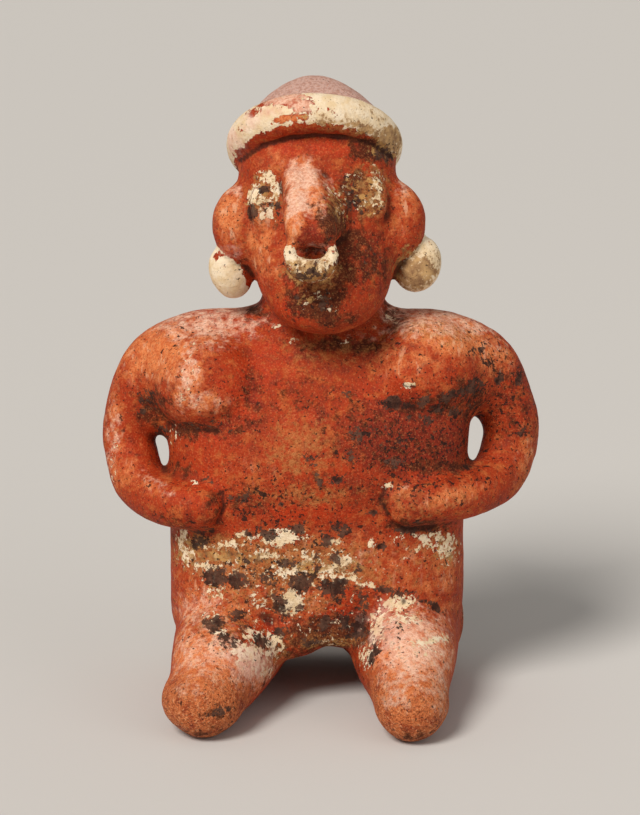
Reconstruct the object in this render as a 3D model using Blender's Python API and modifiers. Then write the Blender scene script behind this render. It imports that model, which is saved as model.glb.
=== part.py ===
"""Seated woman modelled by hand in red clay, with a rolled headband, a nose ring and ear ornaments.

The figure is one fired piece of clay, so it is one object. Each form is laid on as a potter would
lay it: the big masses are blended into each other first, and the small rolls and pellets go on after.
It faces -Y, +Z is up, and it sits on z = 0 with the middle of its box over the origin.
"""

import math

import bmesh
import bpy
import numpy as np
from mathutils import Matrix, Vector

# Driving sizes, in metres. The proportions further down are in figure millimetres, MM.
HEIGHT = 0.245
MM = HEIGHT / 245.0
ARM_THICKNESS = 22.0 * MM
HAND_THICKNESS = 18.4 * MM
LEG_REACH = 84.5 * MM
FOOT_THICKNESS = 26.4 * MM
BAND_ROLL = 15.4 * MM
BAND_ACROSS = 69.0 * MM
NOSE_LENGTH = 29.5 * MM
NOSE_THICKNESS = 17.0 * MM
NOSE_RING_ROLL = 9.2 * MM
NOSE_RING_ACROSS = 20.0 * MM
HEAD_TILT = math.radians(21.0)
BAND_TILT = math.radians(29.5)

# How finely the clay is blended, and how many faces are kept.
GRAIN = 1.5 * MM
BODY_BLEND = 20
DETAIL_BLEND = 3
FACES_KEPT = 8600

# Points around a modelled section, steps between two stations, and sides of a round limb.
AROUND = 40
STEPS = 5
LIMB_SIDES = 6

# Outer face of the head is measured from this point of its leaning axis, just inside the jaw.
HEAD_BASE = Vector((0.5, -14.0, 161.5)) * MM
HEAD_UP = Vector((0.0, math.sin(HEAD_TILT), math.cos(HEAD_TILT)))
HEAD_FRONT = Vector((0.0, -math.cos(HEAD_TILT), math.sin(HEAD_TILT)))

CLAY_COLOUR = (0.48, 0.13, 0.055, 1.0)

# Trunk stations from seat to neck: height, left reach, right reach, front, back, squareness,
# and how much higher the station runs in front than behind.
TRUNK = (
    (13.0, 38.0, 38.0, -16.0, 22.0, 2.4, 14.0),
    (15.5, 51.0, 49.5, -27.0, 29.0, 2.6, 22.0),
    (21.0, 58.0, 55.0, -34.0, 33.0, 2.8, 25.0),
    (29.0, 60.2, 57.4, -37.0, 34.5, 2.9, 22.0),
    (40.0, 60.4, 58.0, -38.0, 34.0, 3.0, 14.0),
    (55.0, 60.4, 57.8, -37.5, 31.0, 2.9, 5.0),
    (72.0, 60.2, 57.6, -37.5, 28.5, 2.8, 0.0),
    (90.0, 60.2, 58.4, -38.0, 27.0, 2.8, 0.0),
    (106.0, 60.6, 59.4, -36.5, 26.5, 2.8, 0.0),
    (120.0, 60.0, 60.0, -33.0, 26.0, 2.7, 0.0),
    (132.0, 58.0, 58.0, -28.5, 24.0, 2.5, 0.0),
    (142.0, 52.0, 52.0, -23.0, 20.5, 2.4, 0.0),
    (150.0, 42.0, 42.0, -17.0, 16.5, 2.3, 0.0),
    (155.5, 28.0, 28.0, -13.0, 13.0, 2.2, 0.0),
)

# Head stations along its leaning axis: station, middle, half width, face, nape, squareness.
HEAD = (
    (-16.5, 1.0, 6.0, 23.0, 13.0, 2.2),
    (-14.0, 1.0, 12.5, 26.5, 8.0, 2.3),
    (-9.5, 1.2, 18.6, 28.5, 2.0, 2.4),
    (-3.0, 1.3, 23.0, 29.5, -6.0, 2.5),
    (6.0, 1.1, 26.3, 29.5, -13.0, 2.6),
    (18.0, 0.5, 29.0, 29.0, -18.0, 2.6),
    (34.0, -0.6, 30.4, 29.0, -21.0, 2.6),
    (50.0, -1.6, 30.8, 28.5, -22.5, 2.5),
    (62.0, -1.6, 30.0, 27.0, -22.5, 2.4),
    (71.0, -2.0, 26.8, 23.5, -21.0, 2.2),
    (78.5, -2.4, 21.2, 17.5, -17.5, 2.0),
    (84.5, -2.6, 14.0, 10.5, -12.5, 2.0),
    (88.4, -2.6, 6.6, 4.0, -6.5, 2.0),
    (89.4, -2.6, 2.8, 0.5, -2.5, 2.0),
)

# Arms from breastbone to wrist: across, depth, height, thickness as a share of the arm's own.
LEFT_ARM = (
    (0.0, 0.0, 131.0, 1.95),
    (-30.0, 0.5, 133.0, 1.92),
    (-45.5, 1.0, 134.0, 1.83),
    (-58.0, 1.5, 132.5, 1.58),
    (-66.0, 2.0, 128.5, 1.35),
    (-72.0, 2.0, 119.0, 1.17),
    (-76.8, 0.0, 105.0, 0.99),
    (-75.4, -3.0, 96.2, 0.97),
    (-72.6, -8.0, 89.3, 1.0),
    (-67.2, -14.0, 85.3, 0.98),
    (-60.0, -21.0, 84.2, 0.92),
    (-54.0, -27.0, 83.1, 0.84),
)
RIGHT_ARM = (
    (0.0, 0.0, 131.0, 1.95),
    (30.0, 0.5, 133.0, 1.92),
    (45.5, 1.0, 134.0, 1.82),
    (58.0, 1.5, 132.5, 1.58),
    (66.0, 2.0, 128.5, 1.35),
    (72.0, 2.0, 119.0, 1.17),
    (76.6, 1.0, 108.0, 1.06),
    (76.0, 0.0, 98.7, 1.03),
    (73.2, -5.0, 92.0, 1.0),
    (68.2, -12.0, 87.0, 0.95),
    (56.0, -24.0, 84.0, 0.83),
    (45.0, -31.0, 84.0, 0.83),
)
LEFT_HAND = (-47.0, -32.0, 82.6)
RIGHT_HAND = (33.2, -34.0, 83.2)
FOREARM_FROM = 7

# Legs from hip to toe: across, share of the reach, height, thickness.
LEFT_LEG = (
    (-33.0, 0.0, 24.0, 49.0),
    (-36.5, 0.35, 22.5, 45.0),
    (-40.2, 0.63, 19.0, 38.5),
)
RIGHT_LEG = (
    (33.0, 0.0, 24.0, 49.0),
    (33.8, 0.53, 21.5, 41.0),
    (34.4, 0.74, 18.0, 34.5),
)
LEFT_TOE = (-45.2, 0.943, 12.8)
RIGHT_TOE = (35.2, 1.0, 12.8)
LEFT_TOE_SPREAD = 1.27
RIGHT_TOE_SPREAD = 1.14

# Lumps of clay: centre, radii, and a turn in degrees about X, Y and Z where there is one.
NECK = ((1.0, 1.0, 158.0), (24.5, 19.0, 24.0))
LEFT_BUTTOCK = ((-33.0, 8.0, 23.0), (26.5, 28.5, 25.0))
RIGHT_BUTTOCK = ((33.0, 8.0, 23.0), (26.5, 28.5, 25.0))
LEFT_BREAST = ((-43.0, -15.0, 131.0), (27.0, 20.0, 23.0), (-28.0, 0.0, 0.0))
RIGHT_BREAST = ((42.0, -14.0, 135.0), (27.0, 19.5, 22.0), (-28.0, 0.0, 0.0))
BELLY = ((2.0, -20.0, 96.0), (50.0, 20.5, 38.0))
LEFT_EAR = ((-31.0, -7.0, 188.4), (11.6, 10.0, 18.5), (-21.0, 0.0, 0.0))
RIGHT_EAR = ((31.0, -7.0, 189.8), (11.4, 10.0, 18.5), (-21.0, 0.0, 0.0))
LEFT_ORNAMENT = ((-35.4, -6.0, 170.0), (8.4, 8.0, 11.2), (0.0, -18.0, 0.0))
RIGHT_ORNAMENT = ((37.3, -6.0, 172.3), (11.0, 8.5, 10.4))

# Pellets pressed on the face: across, station, half width, half height.
LEFT_EYE = (-20.6, 32.5, 7.2, 9.6)
RIGHT_EYE = (16.2, 34.0, 9.6, 11.0)
MOUTH = (-0.5, -4.0, 8.0, 3.6)

# Headband: the middle of its ring, and the height of its roll as a share of the roll's depth.
BAND_CENTRE = (-2.3, 4.0, 221.3)
BAND_SQUASH = 1.08

# Nose from brow to tip: share of its length, how far it stands out, thickness as a share. It swings
# a little to one side on its way down, and its bridge is a second, narrower roll.
NOSE_TOP = (-6.0, 48.5, 23.5)
NOSE_LINE = ((0.0, 0.0, 0.7), (0.35, 6.0, 0.88), (0.7, 13.5, 1.0), (1.0, 18.5, 0.96))
NOSE_SWING = 1.8
BRIDGE_LINE = ((0.1, 1.0), (0.5, 7.5), (0.84, 11.0))
BRIDGE_THICKNESS = 0.46

# Nose ring: where it hangs from the tip, how much of a half turn it makes, how far it leans forward,
# how deep it hangs, and how thick its ends are.
RING_FROM_TIP = (0.4, -3.2, -5.0)
RING_TURN = 1.16
RING_LEAN = 2.0
RING_DROP = 1.15
RING_ENDS = 0.5
RING_POINTS = 9

# Block below the floor that cuts the seat and the feet flat, between two corners.
GROUND_LOW = (-150.0, -200.0, -60.0)
GROUND_HIGH = (150.0, 150.0, 0.0)


def clear_scene():
    for thing in list(bpy.data.objects):
        bpy.data.objects.remove(thing, do_unlink=True)


def collection(name):
    made = bpy.data.collections.new(name)
    bpy.context.scene.collection.children.link(made)
    return made


def through(stations, steps=STEPS):
    """Stations on a smooth curve through the given ones."""
    keys = np.array(stations, float)
    padded = np.vstack([2 * keys[0] - keys[1], keys, 2 * keys[-1] - keys[-2]])
    rows = []
    for i in range(len(keys) - 1):
        before, start, end, after = padded[i : i + 4]
        for t in np.linspace(0.0, 1.0, steps, endpoint=False):
            rows.append(
                start
                + 0.5 * t * (end - before)
                + t * t * (before - 2.5 * start + 2 * end - 0.5 * after)
                + t**3 * (-0.5 * before + 1.5 * start - 1.5 * end + 0.5 * after)
            )
    return np.vstack(rows + [keys[-1]])


def rounded(angle, squareness):
    """Across and depth, each -1 to 1, of a squared-off oval at an angle."""
    c, s = math.cos(angle), math.sin(angle)
    power = 2.0 / squareness
    return math.copysign(abs(c) ** power, c), math.copysign(abs(s) ** power, s)


def add_loft(clay, rings):
    """A closed skin over rings of equal count, added to the clay."""
    loops = [[clay.verts.new(point) for point in ring] for ring in rings]
    for low, high in zip(loops, loops[1:]):
        for i in range(len(low)):
            j = (i + 1) % len(low)
            clay.faces.new((low[i], low[j], high[j], high[i]))
    clay.faces.new(list(reversed(loops[0])))
    clay.faces.new(loops[-1])


def add_ball(clay, centre, radii, turn=(0.0, 0.0, 0.0)):
    """An oval lump, sized in figure millimetres and turned in degrees about X, Y and Z."""
    place = Matrix.Translation(Vector(centre) * MM)
    for axis, degrees in zip("XYZ", turn):
        place = place @ Matrix.Rotation(math.radians(degrees), 4, axis)
    shape = Matrix.Diagonal((*(Vector(radii) * MM), 1.0))
    bmesh.ops.create_uvsphere(clay, u_segments=24, v_segments=16, radius=1.0, matrix=place @ shape)


def add_limb(clay, points):
    """A tapering roll of clay with round ends: a curve with a radius at each point, and two balls."""
    smooth = through(points)
    curve = bpy.data.curves.new("roll", "CURVE")
    curve.dimensions = "3D"
    curve.bevel_depth = 1.0
    curve.bevel_resolution = LIMB_SIDES
    curve.use_fill_caps = True
    spline = curve.splines.new("POLY")
    spline.points.add(len(smooth) - 1)
    for point, row in zip(spline.points, smooth):
        point.co = (*row[:3], 1.0)
        point.radius = row[3]
    guide = bpy.data.objects.new("roll", curve)
    bpy.context.scene.collection.objects.link(guide)
    graph = bpy.context.evaluated_depsgraph_get()
    mesh = bpy.data.meshes.new_from_object(guide.evaluated_get(graph))
    bpy.data.objects.remove(guide)
    clay.from_mesh(mesh)
    bpy.data.meshes.remove(mesh)
    for row in (smooth[0], smooth[-1]):
        place = Matrix.Translation(Vector(row[:3]))
        bmesh.ops.create_uvsphere(clay, u_segments=20, v_segments=12, radius=row[3], matrix=place)


def add_torus(clay, centre, across, roll, tilt, squash=1.0, sides=48, roll_sides=16):
    """A ring of rolled clay. across is its outer width; tilt lifts its front edge."""
    middle = across / 2 - roll / 2
    turn = Matrix.Translation(Vector(centre)) @ Matrix.Rotation(tilt, 4, "X")
    loops = []
    for i in range(sides):
        angle = 2 * math.pi * i / sides
        out = Vector((math.cos(angle), math.sin(angle), 0.0))
        loop = []
        for j in range(roll_sides):
            around = 2 * math.pi * j / roll_sides
            lift = Vector((0.0, 0.0, math.sin(around) * roll / 2 * squash))
            loop.append(clay.verts.new(turn @ (out * (middle + math.cos(around) * roll / 2) + lift)))
        loops.append(loop)
    for i in range(sides):
        one, two = loops[i], loops[(i + 1) % sides]
        for j in range(roll_sides):
            k = (j + 1) % roll_sides
            clay.faces.new((one[j], two[j], two[k], one[k]))


def head_point(across, station, forward):
    """A place in the leaning head, from figure millimetres."""
    return HEAD_BASE + (Vector((across, 0.0, 0.0)) + HEAD_UP * station + HEAD_FRONT * forward) * MM


def face_depth(across, station):
    """How far the skin of the face stands in front of the head's axis."""
    rows = through(HEAD)
    middle, half, face, nape, square = (
        float(np.interp(station, rows[:, 0], rows[:, i])) for i in range(1, 6)
    )
    share = min(abs(across - middle) / half, 0.98)
    bulge = (1.0 - share**square) ** (1.0 / square)
    return (face + nape) / 2 + (face - nape) / 2 * bulge


def add_trunk(clay):
    rings = []
    for height, left, right, front, back, square, rise in through(TRUNK):
        ring = []
        for i in range(AROUND):
            across, depth = rounded(2 * math.pi * i / AROUND, square)
            x = across * (right if across > 0 else left)
            y = (front + back) / 2 + depth * (back - front) / 2
            ring.append(Vector((x, y, height - depth * rise / 2)) * MM)
        rings.append(ring)
    add_loft(clay, rings)


def add_head(clay):
    rings = []
    for station, middle, half, face, nape, square in through(HEAD):
        ring = []
        for i in range(AROUND):
            across, depth = rounded(2 * math.pi * i / AROUND, square)
            forward = (face + nape) / 2 - depth * (face - nape) / 2
            ring.append(head_point(middle + across * half, station, forward))
        rings.append(ring)
    add_loft(clay, rings)


def arm_rows(points, hand):
    """An arm's points in metres with radii, from the breastbone to the end of the hand."""
    rows = [(x * MM, y * MM, z * MM, share * ARM_THICKNESS / 2) for x, y, z, share in points]
    rows.append((*(Vector(hand) * MM), HAND_THICKNESS / 2))
    return rows


def leg_rows(points, toe):
    """A leg's points in metres with radii, from the hip to the end of the foot."""
    reach = LEG_REACH - FOOT_THICKNESS / 2
    rows = [
        (x * MM, -share * reach, z * MM, thick / 2 * MM) for x, share, z, thick in points
    ]
    rows.append((toe[0] * MM, -toe[1] * reach, toe[2] * MM, FOOT_THICKNESS / 2))
    return rows


def add_leg(clay, points, toe, spread):
    """One short leg, whose end spreads sideways a little as a stub of a foot."""
    rows = leg_rows(points, toe)
    add_limb(clay, rows)
    radius = rows[-1][3] / MM
    centre = Vector(rows[-1][:3]) / MM
    set_back = 7.0
    centre.y += set_back
    add_ball(clay, centre, (radius * spread, radius + set_back, radius))


def add_masses(clay):
    """The big forms, which are blended into each other with a wet hand."""
    add_trunk(clay)
    add_head(clay)
    for lump in (NECK, LEFT_BUTTOCK, RIGHT_BUTTOCK, LEFT_BREAST, RIGHT_BREAST, BELLY):
        add_ball(clay, *lump)
    add_limb(clay, arm_rows(LEFT_ARM, LEFT_HAND))
    add_limb(clay, arm_rows(RIGHT_ARM, RIGHT_HAND))
    add_leg(clay, LEFT_LEG, LEFT_TOE, LEFT_TOE_SPREAD)
    add_leg(clay, RIGHT_LEG, RIGHT_TOE, RIGHT_TOE_SPREAD)
    add_ball(clay, *LEFT_EAR)
    add_ball(clay, *RIGHT_EAR)


def add_details(clay):
    """The small forms, which keep a crease where they were pressed on."""
    add_limb(clay, arm_rows(LEFT_ARM, LEFT_HAND)[FOREARM_FROM:])
    add_limb(clay, arm_rows(RIGHT_ARM, RIGHT_HAND)[FOREARM_FROM:])
    add_torus(clay, Vector(BAND_CENTRE) * MM, BAND_ACROSS, BAND_ROLL, -BAND_TILT, BAND_SQUASH)
    add_nose(clay)
    add_ball(clay, *LEFT_ORNAMENT)
    add_ball(clay, *RIGHT_ORNAMENT)
    for pellet in (LEFT_EYE, RIGHT_EYE, MOUTH):
        add_pellet(clay, *pellet)


def add_pellet(clay, across, station, half_across, half_up, proud=1.3):
    """A flat pellet pressed on the face, standing a little proud of it."""
    thick = 3.2
    forward = face_depth(across, station) + proud - thick
    place = Matrix.Translation(head_point(across, station, forward))
    turn = Matrix.Rotation(-HEAD_TILT, 4, "X")
    shape = Matrix.Diagonal((half_across * MM, thick * MM, half_up * MM, 1.0))
    bmesh.ops.create_uvsphere(
        clay, u_segments=24, v_segments=16, radius=1.0, matrix=place @ turn @ shape
    )


def add_nose(clay):
    """The long hooked nose, and the crescent of clay that hangs from it as a nose ring."""
    top = head_point(*NOSE_TOP)
    down = -HEAD_UP * NOSE_LENGTH
    rows = []
    for share, proud, thick in NOSE_LINE:
        place = top + down * share + HEAD_FRONT * proud * MM + Vector((NOSE_SWING * share * MM, 0, 0))
        rows.append((*place, thick * NOSE_THICKNESS / 2))
    add_limb(clay, rows)
    bridge = []
    for share, proud in BRIDGE_LINE:
        place = top + down * share + HEAD_FRONT * proud * MM
        bridge.append((*place, NOSE_THICKNESS * BRIDGE_THICKNESS))
    add_limb(clay, bridge)

    hang = Vector(rows[-1][:3]) + Vector(RING_FROM_TIP) * MM
    half = NOSE_RING_ACROSS / 2 - NOSE_RING_ROLL / 4
    crescent = []
    for i in range(RING_POINTS):
        swing = math.pi * (i / (RING_POINTS - 1) - 0.5) * RING_TURN
        low = math.cos(swing)
        place = hang + Vector((math.sin(swing) * half, -RING_LEAN * low * MM, -low * half * RING_DROP))
        thick = RING_ENDS + (1.0 - RING_ENDS) * max(low, 0.0)
        crescent.append((*place, NOSE_RING_ROLL / 2 * thick))
    add_limb(clay, crescent)


def object_from(clay, name, group):
    mesh = bpy.data.meshes.new(name)
    bmesh.ops.recalc_face_normals(clay, faces=clay.faces)
    clay.to_mesh(mesh)
    clay.free()
    made = bpy.data.objects.new(name, mesh)
    group.objects.link(made)
    return made


def blend(thing, repeats):
    """Joins the lumps of clay into one skin, and smooths it."""
    skin = thing.modifiers.new("one skin", "REMESH")
    skin.mode = "VOXEL"
    skin.voxel_size = GRAIN
    smooth = thing.modifiers.new("wet hand", "SMOOTH")
    smooth.factor = 0.5
    smooth.iterations = repeats


def settled(thing):
    """The mesh of an object with its modifiers applied."""
    bpy.context.view_layer.update()
    graph = bpy.context.evaluated_depsgraph_get()
    return bpy.data.meshes.new_from_object(thing.evaluated_get(graph))


def solid_block(name, low, high, group):
    """A helper box between two corners in figure millimetres."""
    block = bmesh.new()
    middle = (Vector(low) + Vector(high)) / 2 * MM
    size = (Vector(high) - Vector(low)) * MM
    bmesh.ops.create_cube(
        block, size=1.0, matrix=Matrix.Translation(middle) @ Matrix.Diagonal((*size, 1.0))
    )
    return object_from(block, name, group)


def as_cutter(thing):
    thing.hide_render = True
    thing.display_type = "WIRE"


def clay_material():
    clay = bpy.data.materials.new("red slipped terracotta")
    clay.use_nodes = True
    shader = clay.node_tree.nodes["Principled BSDF"]
    shader.inputs["Base Color"].default_value = CLAY_COLOUR
    shader.inputs["Roughness"].default_value = 0.62
    shader.inputs["Metallic"].default_value = 0.0
    return clay


def main():
    clear_scene()
    figure_group = collection("seated woman")
    cutters = collection("cutters")

    masses = bmesh.new()
    add_masses(masses)
    body = object_from(masses, "masses", figure_group)
    blend(body, BODY_BLEND)

    whole = bmesh.new()
    body_mesh = settled(body)
    whole.from_mesh(body_mesh)
    bpy.data.objects.remove(body)
    bpy.data.meshes.remove(body_mesh)
    add_details(whole)
    figure = object_from(whole, "seated_woman", figure_group)
    blend(figure, DETAIL_BLEND)

    ground = solid_block("ground", GROUND_LOW, GROUND_HIGH, cutters)
    as_cutter(ground)

    mesh = settled(figure)
    faces = sum(len(face.vertices) - 2 for face in mesh.polygons)
    bpy.data.meshes.remove(mesh)
    fewer = figure.modifiers.new("fewer faces", "DECIMATE")
    fewer.ratio = FACES_KEPT / faces
    seat = figure.modifiers.new("flat seat", "BOOLEAN")
    seat.operation = "DIFFERENCE"
    seat.object = ground

    mesh = settled(figure)
    corners = np.array([v.co for v in mesh.vertices])
    middle = (corners.min(axis=0) + corners.max(axis=0)) / 2
    bpy.data.meshes.remove(mesh)
    for thing in (figure, ground):
        thing.location = (-middle[0], -middle[1], 0.0)
    figure.data.materials.append(clay_material())
    figure.data.shade_smooth()


if __name__ == "__main__":
    main()
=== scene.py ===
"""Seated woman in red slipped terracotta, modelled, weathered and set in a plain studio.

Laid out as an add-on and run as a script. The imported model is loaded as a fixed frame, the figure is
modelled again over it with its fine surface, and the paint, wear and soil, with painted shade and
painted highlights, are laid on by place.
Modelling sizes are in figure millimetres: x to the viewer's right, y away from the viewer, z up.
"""

import math

import bmesh
import bpy
import numpy as np
from mathutils import Matrix, Vector, noise


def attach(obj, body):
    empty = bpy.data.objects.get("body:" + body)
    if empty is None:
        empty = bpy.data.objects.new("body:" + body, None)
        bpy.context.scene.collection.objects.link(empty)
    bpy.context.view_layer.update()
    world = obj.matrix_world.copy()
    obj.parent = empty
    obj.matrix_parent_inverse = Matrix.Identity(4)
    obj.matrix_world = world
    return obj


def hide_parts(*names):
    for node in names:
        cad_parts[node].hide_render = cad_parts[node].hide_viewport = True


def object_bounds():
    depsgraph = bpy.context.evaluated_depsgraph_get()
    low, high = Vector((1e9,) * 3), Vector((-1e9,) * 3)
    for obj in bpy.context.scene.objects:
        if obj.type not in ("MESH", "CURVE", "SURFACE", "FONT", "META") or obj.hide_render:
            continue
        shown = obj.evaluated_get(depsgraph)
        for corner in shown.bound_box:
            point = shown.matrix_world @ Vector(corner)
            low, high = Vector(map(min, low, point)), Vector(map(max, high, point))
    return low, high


bl_info = {
    "name": "Seated Terracotta Woman",
    "version": (1, 0, 0),
    "blender": (4, 5, 0),
    "location": "3D View > Sidebar > Clay Figure",
    "description": "Models and weathers a seated clay woman, and sets a plain studio for it",
    "category": "Object",
}

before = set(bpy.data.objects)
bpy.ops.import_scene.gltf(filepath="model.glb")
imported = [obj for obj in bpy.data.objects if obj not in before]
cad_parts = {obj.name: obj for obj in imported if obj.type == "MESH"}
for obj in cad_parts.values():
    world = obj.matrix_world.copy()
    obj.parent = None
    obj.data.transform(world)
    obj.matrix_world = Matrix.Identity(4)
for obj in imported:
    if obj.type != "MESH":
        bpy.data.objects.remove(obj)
CAD_BOX = [list(corner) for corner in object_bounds()]

NODE = "seated_woman"
FIGURE_TALL = 245.0
MM = CAD_BOX[1][2] / FIGURE_TALL
# Where the modelling millimetres start in the frame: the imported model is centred, they aren't.
FIGURE_ORIGIN = Vector((-0.34, 23.95, 0.0)) * MM

# Camera: the photograph is taken to be made from 1.1 m away, 14 degrees above the horizontal.
CAMERA_AWAY = 1.1
CAMERA_RAISED = math.radians(14.0)
CAMERA_TARGET_HEIGHT = 0.114
PHOTO_WIDE, PHOTO_HIGH = 640, 815
FOCAL_PIXELS = 2750.0
SENSOR = 36.0

# Stage, in metres from the middle of the figure's seat.
FLOOR_RADIUS = 6.0
LIGHT_AIM = Vector((0.0, 0.0, 0.12))
KEY_PLACE = Vector((-0.6, -0.9, 1.2))
KEY_SOFTNESS = math.radians(24.0)
KEY_COLOUR = "#FFF8F0"
FILL_PLACE = Vector((1.1, -0.9, 0.5))
FILL_SIZE = 0.9
AIR_COLOUR = "#E6E1DA"
AIR_STRENGTH = 0.42


def linear(code):
    """Linear red, green and blue of an sRGB hex colour."""
    channels = [int(code[i : i + 2], 16) / 255 for i in (1, 3, 5)]
    return tuple(c / 12.92 if c <= 0.04045 else ((c + 0.055) / 1.055) ** 2.4 for c in channels)


def size_setting(name, description, millimetres):
    """A length kept in metres, given in modelling millimetres."""
    return bpy.props.FloatProperty(
        name=name, description=description, default=millimetres * MM, unit="LENGTH"
    )


def colour_setting(name, description, code):
    """A colour kept as linear light, given as sRGB hex."""
    return bpy.props.FloatVectorProperty(
        name=name, description=description, default=linear(code), subtype="COLOR", min=0, max=1
    )


class ClayFigureSettings(bpy.types.PropertyGroup):
    """Sizes and colours of the clay figure."""

    grain: size_setting("Mesh grain", "Edge length of the finished surface", 1.2)
    arm_thickness: size_setting("Arm thickness", "Thickness of the upper arm's roll of clay", 22.0)
    hand_thickness: size_setting("Hand thickness", "Thickness of the rounded hands", 18.4)
    leg_reach: size_setting("Leg reach", "How far the legs reach in front of the hips", 84.5)
    foot_thickness: size_setting("Foot thickness", "Thickness of the rounded ends of the legs", 26.4)
    band_across: size_setting("Headband width", "Outer width of the rolled headband", 69.0)
    band_roll: size_setting("Headband roll", "Thickness of the rolled headband", 15.4)
    nose_length: size_setting("Nose length", "Length of the nose from the brow to the tip", 29.5)
    lump_height: size_setting("Hand marks", "Height of the soft unevenness left by the hands", 0.9)
    pit_depth: size_setting("Pit depth", "Depth of the small pits of the weathered surface", 0.35)
    paint_seed: bpy.props.IntProperty(
        name="Paint seed", description="Which random course the edges of the paint and soil take",
        default=3, min=1,
    )
    slip_colour: colour_setting("Slip", "Burnished red slip where it is whole", "#AC340C")
    clay_colour: colour_setting("Clay", "Orange buff clay where the slip is rubbed thin", "#BA6230")
    foot_colour: colour_setting("Feet", "Bare gritty clay of the feet", "#CE7240")


class StageSettings(bpy.types.PropertyGroup):
    """Floor and light."""

    floor_colour: colour_setting("Floor", "Matt pale floor", "#CDCCCA")
    key_strength: bpy.props.FloatProperty(
        name="Key light", description="Strength of the wide soft light from the upper left",
        default=2.9, min=0,
    )
    fill_power: bpy.props.FloatProperty(
        name="Fill light", description="Power of the weak soft light at the right, in watts",
        default=3.0, min=0,
    )


# Forms of the figure

BAND_TILT = math.radians(33.0)
BAND_CENTRE = (-2.3, 4.0, 220.4)
BAND_DROOP = 1.6
BAND_SQUASH = 1.08
BAND_ROLL_IN_FRONT = 0.93
BAND_ROLL_GAIN = 0.09
HEAD_TILT = math.radians(21.0)
HEAD_BASE = Vector((0.5, -14.0, 161.5))
HEAD_UP = Vector((0.0, math.sin(HEAD_TILT), math.cos(HEAD_TILT)))
HEAD_FRONT = Vector((0.0, -math.cos(HEAD_TILT), math.sin(HEAD_TILT)))
BODY_GRAIN = 1.5
BODY_BLEND = 20
DETAIL_BLEND = 5
AROUND = 56
STEPS = 6

# Trunk: height, left reach, right reach, front, back, squareness, rise of the front.
TRUNK = (
    (13, 38, 38, -16, 22, 2.4, 14),
    (15.5, 51, 49.5, -27, 29, 2.6, 22),
    (21, 58, 55, -34, 33, 2.8, 25),
    (29, 60.2, 57.4, -37, 34.5, 2.9, 22),
    (40, 60.4, 58, -38, 34, 3, 14),
    (55, 60.4, 57.8, -37.5, 31, 2.9, 5),
    (72, 60.2, 57.6, -37.5, 28.5, 2.8, 0),
    (90, 60.2, 58.4, -38, 27, 2.8, 0),
    (106, 60.6, 59.4, -36.5, 26.5, 2.8, 0),
    (120, 60, 60, -33, 26, 2.7, 0),
    (132, 58, 58, -28.5, 24, 2.5, 0),
    (142, 52, 52, -23, 20.5, 2.4, 0),
    (150, 42, 42, -17, 16.5, 2.3, 0),
    (155.5, 28, 28, -13, 13, 2.2, 0),
)

# Head, along its leaning axis: station, middle, half width, face, nape, squareness.
HEAD = (
    (-16.5, 1, 6, 23, 13, 2.2),
    (-14, 1, 12.5, 26.5, 8, 2.3),
    (-9.5, 1.2, 18.6, 28.5, 2, 2.4),
    (-3, 1.3, 23, 29.5, -6, 2.5),
    (6, 1.1, 26.3, 29.5, -13, 2.6),
    (18, 0.5, 29, 29, -18, 2.6),
    (34, -0.6, 30.4, 29, -21, 2.6),
    (50, -1.6, 30.8, 28.5, -22.5, 2.5),
    (62, -1.6, 30, 27, -22.5, 2.4),
    (71, -2, 26.8, 23.5, -21, 2.2),
    (78.5, -2.4, 21.2, 17.5, -17.5, 2),
    (84.5, -2.6, 14, 10.5, -12.5, 2),
    (88.4, -2.6, 6.6, 4, -6.5, 2),
    (89.4, -2.6, 2.8, 0.5, -2.5, 2),
)

# Arms from breastbone to wrist: across, depth, height, thickness as a share of the arm's own.
LEFT_ARM = (
    (0, 0, 131, 1.95),
    (-30, 0.5, 133, 1.92),
    (-45.5, 1, 134, 1.83),
    (-58, 1.5, 132.5, 1.58),
    (-66, 2, 128.5, 1.35),
    (-72, 2, 119, 1.17),
    (-76.8, 0, 105, 0.98),
    (-75.4, -3, 95.4, 0.97),
    (-72.8, -8, 87.4, 0.98),
    (-67.6, -15, 82.8, 0.92),
    (-60.5, -24, 81.8, 0.87),
    (-54, -29.5, 81.8, 0.86),
)
RIGHT_ARM = (
    (0, 0, 131, 1.95),
    (30, 0.5, 133, 1.92),
    (45.5, 1, 134, 1.82),
    (58, 1.5, 132.5, 1.58),
    (66, 2, 128.5, 1.35),
    (72, 2, 119, 1.17),
    (76.6, 1, 108, 1.06),
    (76, 0, 98.7, 1.03),
    (73.2, -5, 92, 1),
    (68.2, -12, 87, 0.95),
    (56, -25, 84.6, 0.85),
    (45, -31, 84.8, 0.85),
)
LEFT_HAND = (-46.6, -32.0, 82.2)
RIGHT_HAND = (33.2, -33.4, 83.4)
FOREARM_FROM = 7

# Legs from hip to toe: across, share of the reach, height, thickness, or for a toe its sideways spread.
LEFT_LEG = ((-33, 0, 24, 49), (-36.5, 0.35, 22.5, 45), (-40.2, 0.63, 19, 38.5))
RIGHT_LEG = ((33, 0, 24, 49), (33.8, 0.53, 21.5, 41), (34.4, 0.74, 18, 34.5))
LEFT_TOE = (-45.2, 0.943, 12.8, 1.27)
RIGHT_TOE = (35.2, 1.0, 12.8, 1.14)
FOOT_SET_BACK = 7.0

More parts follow.
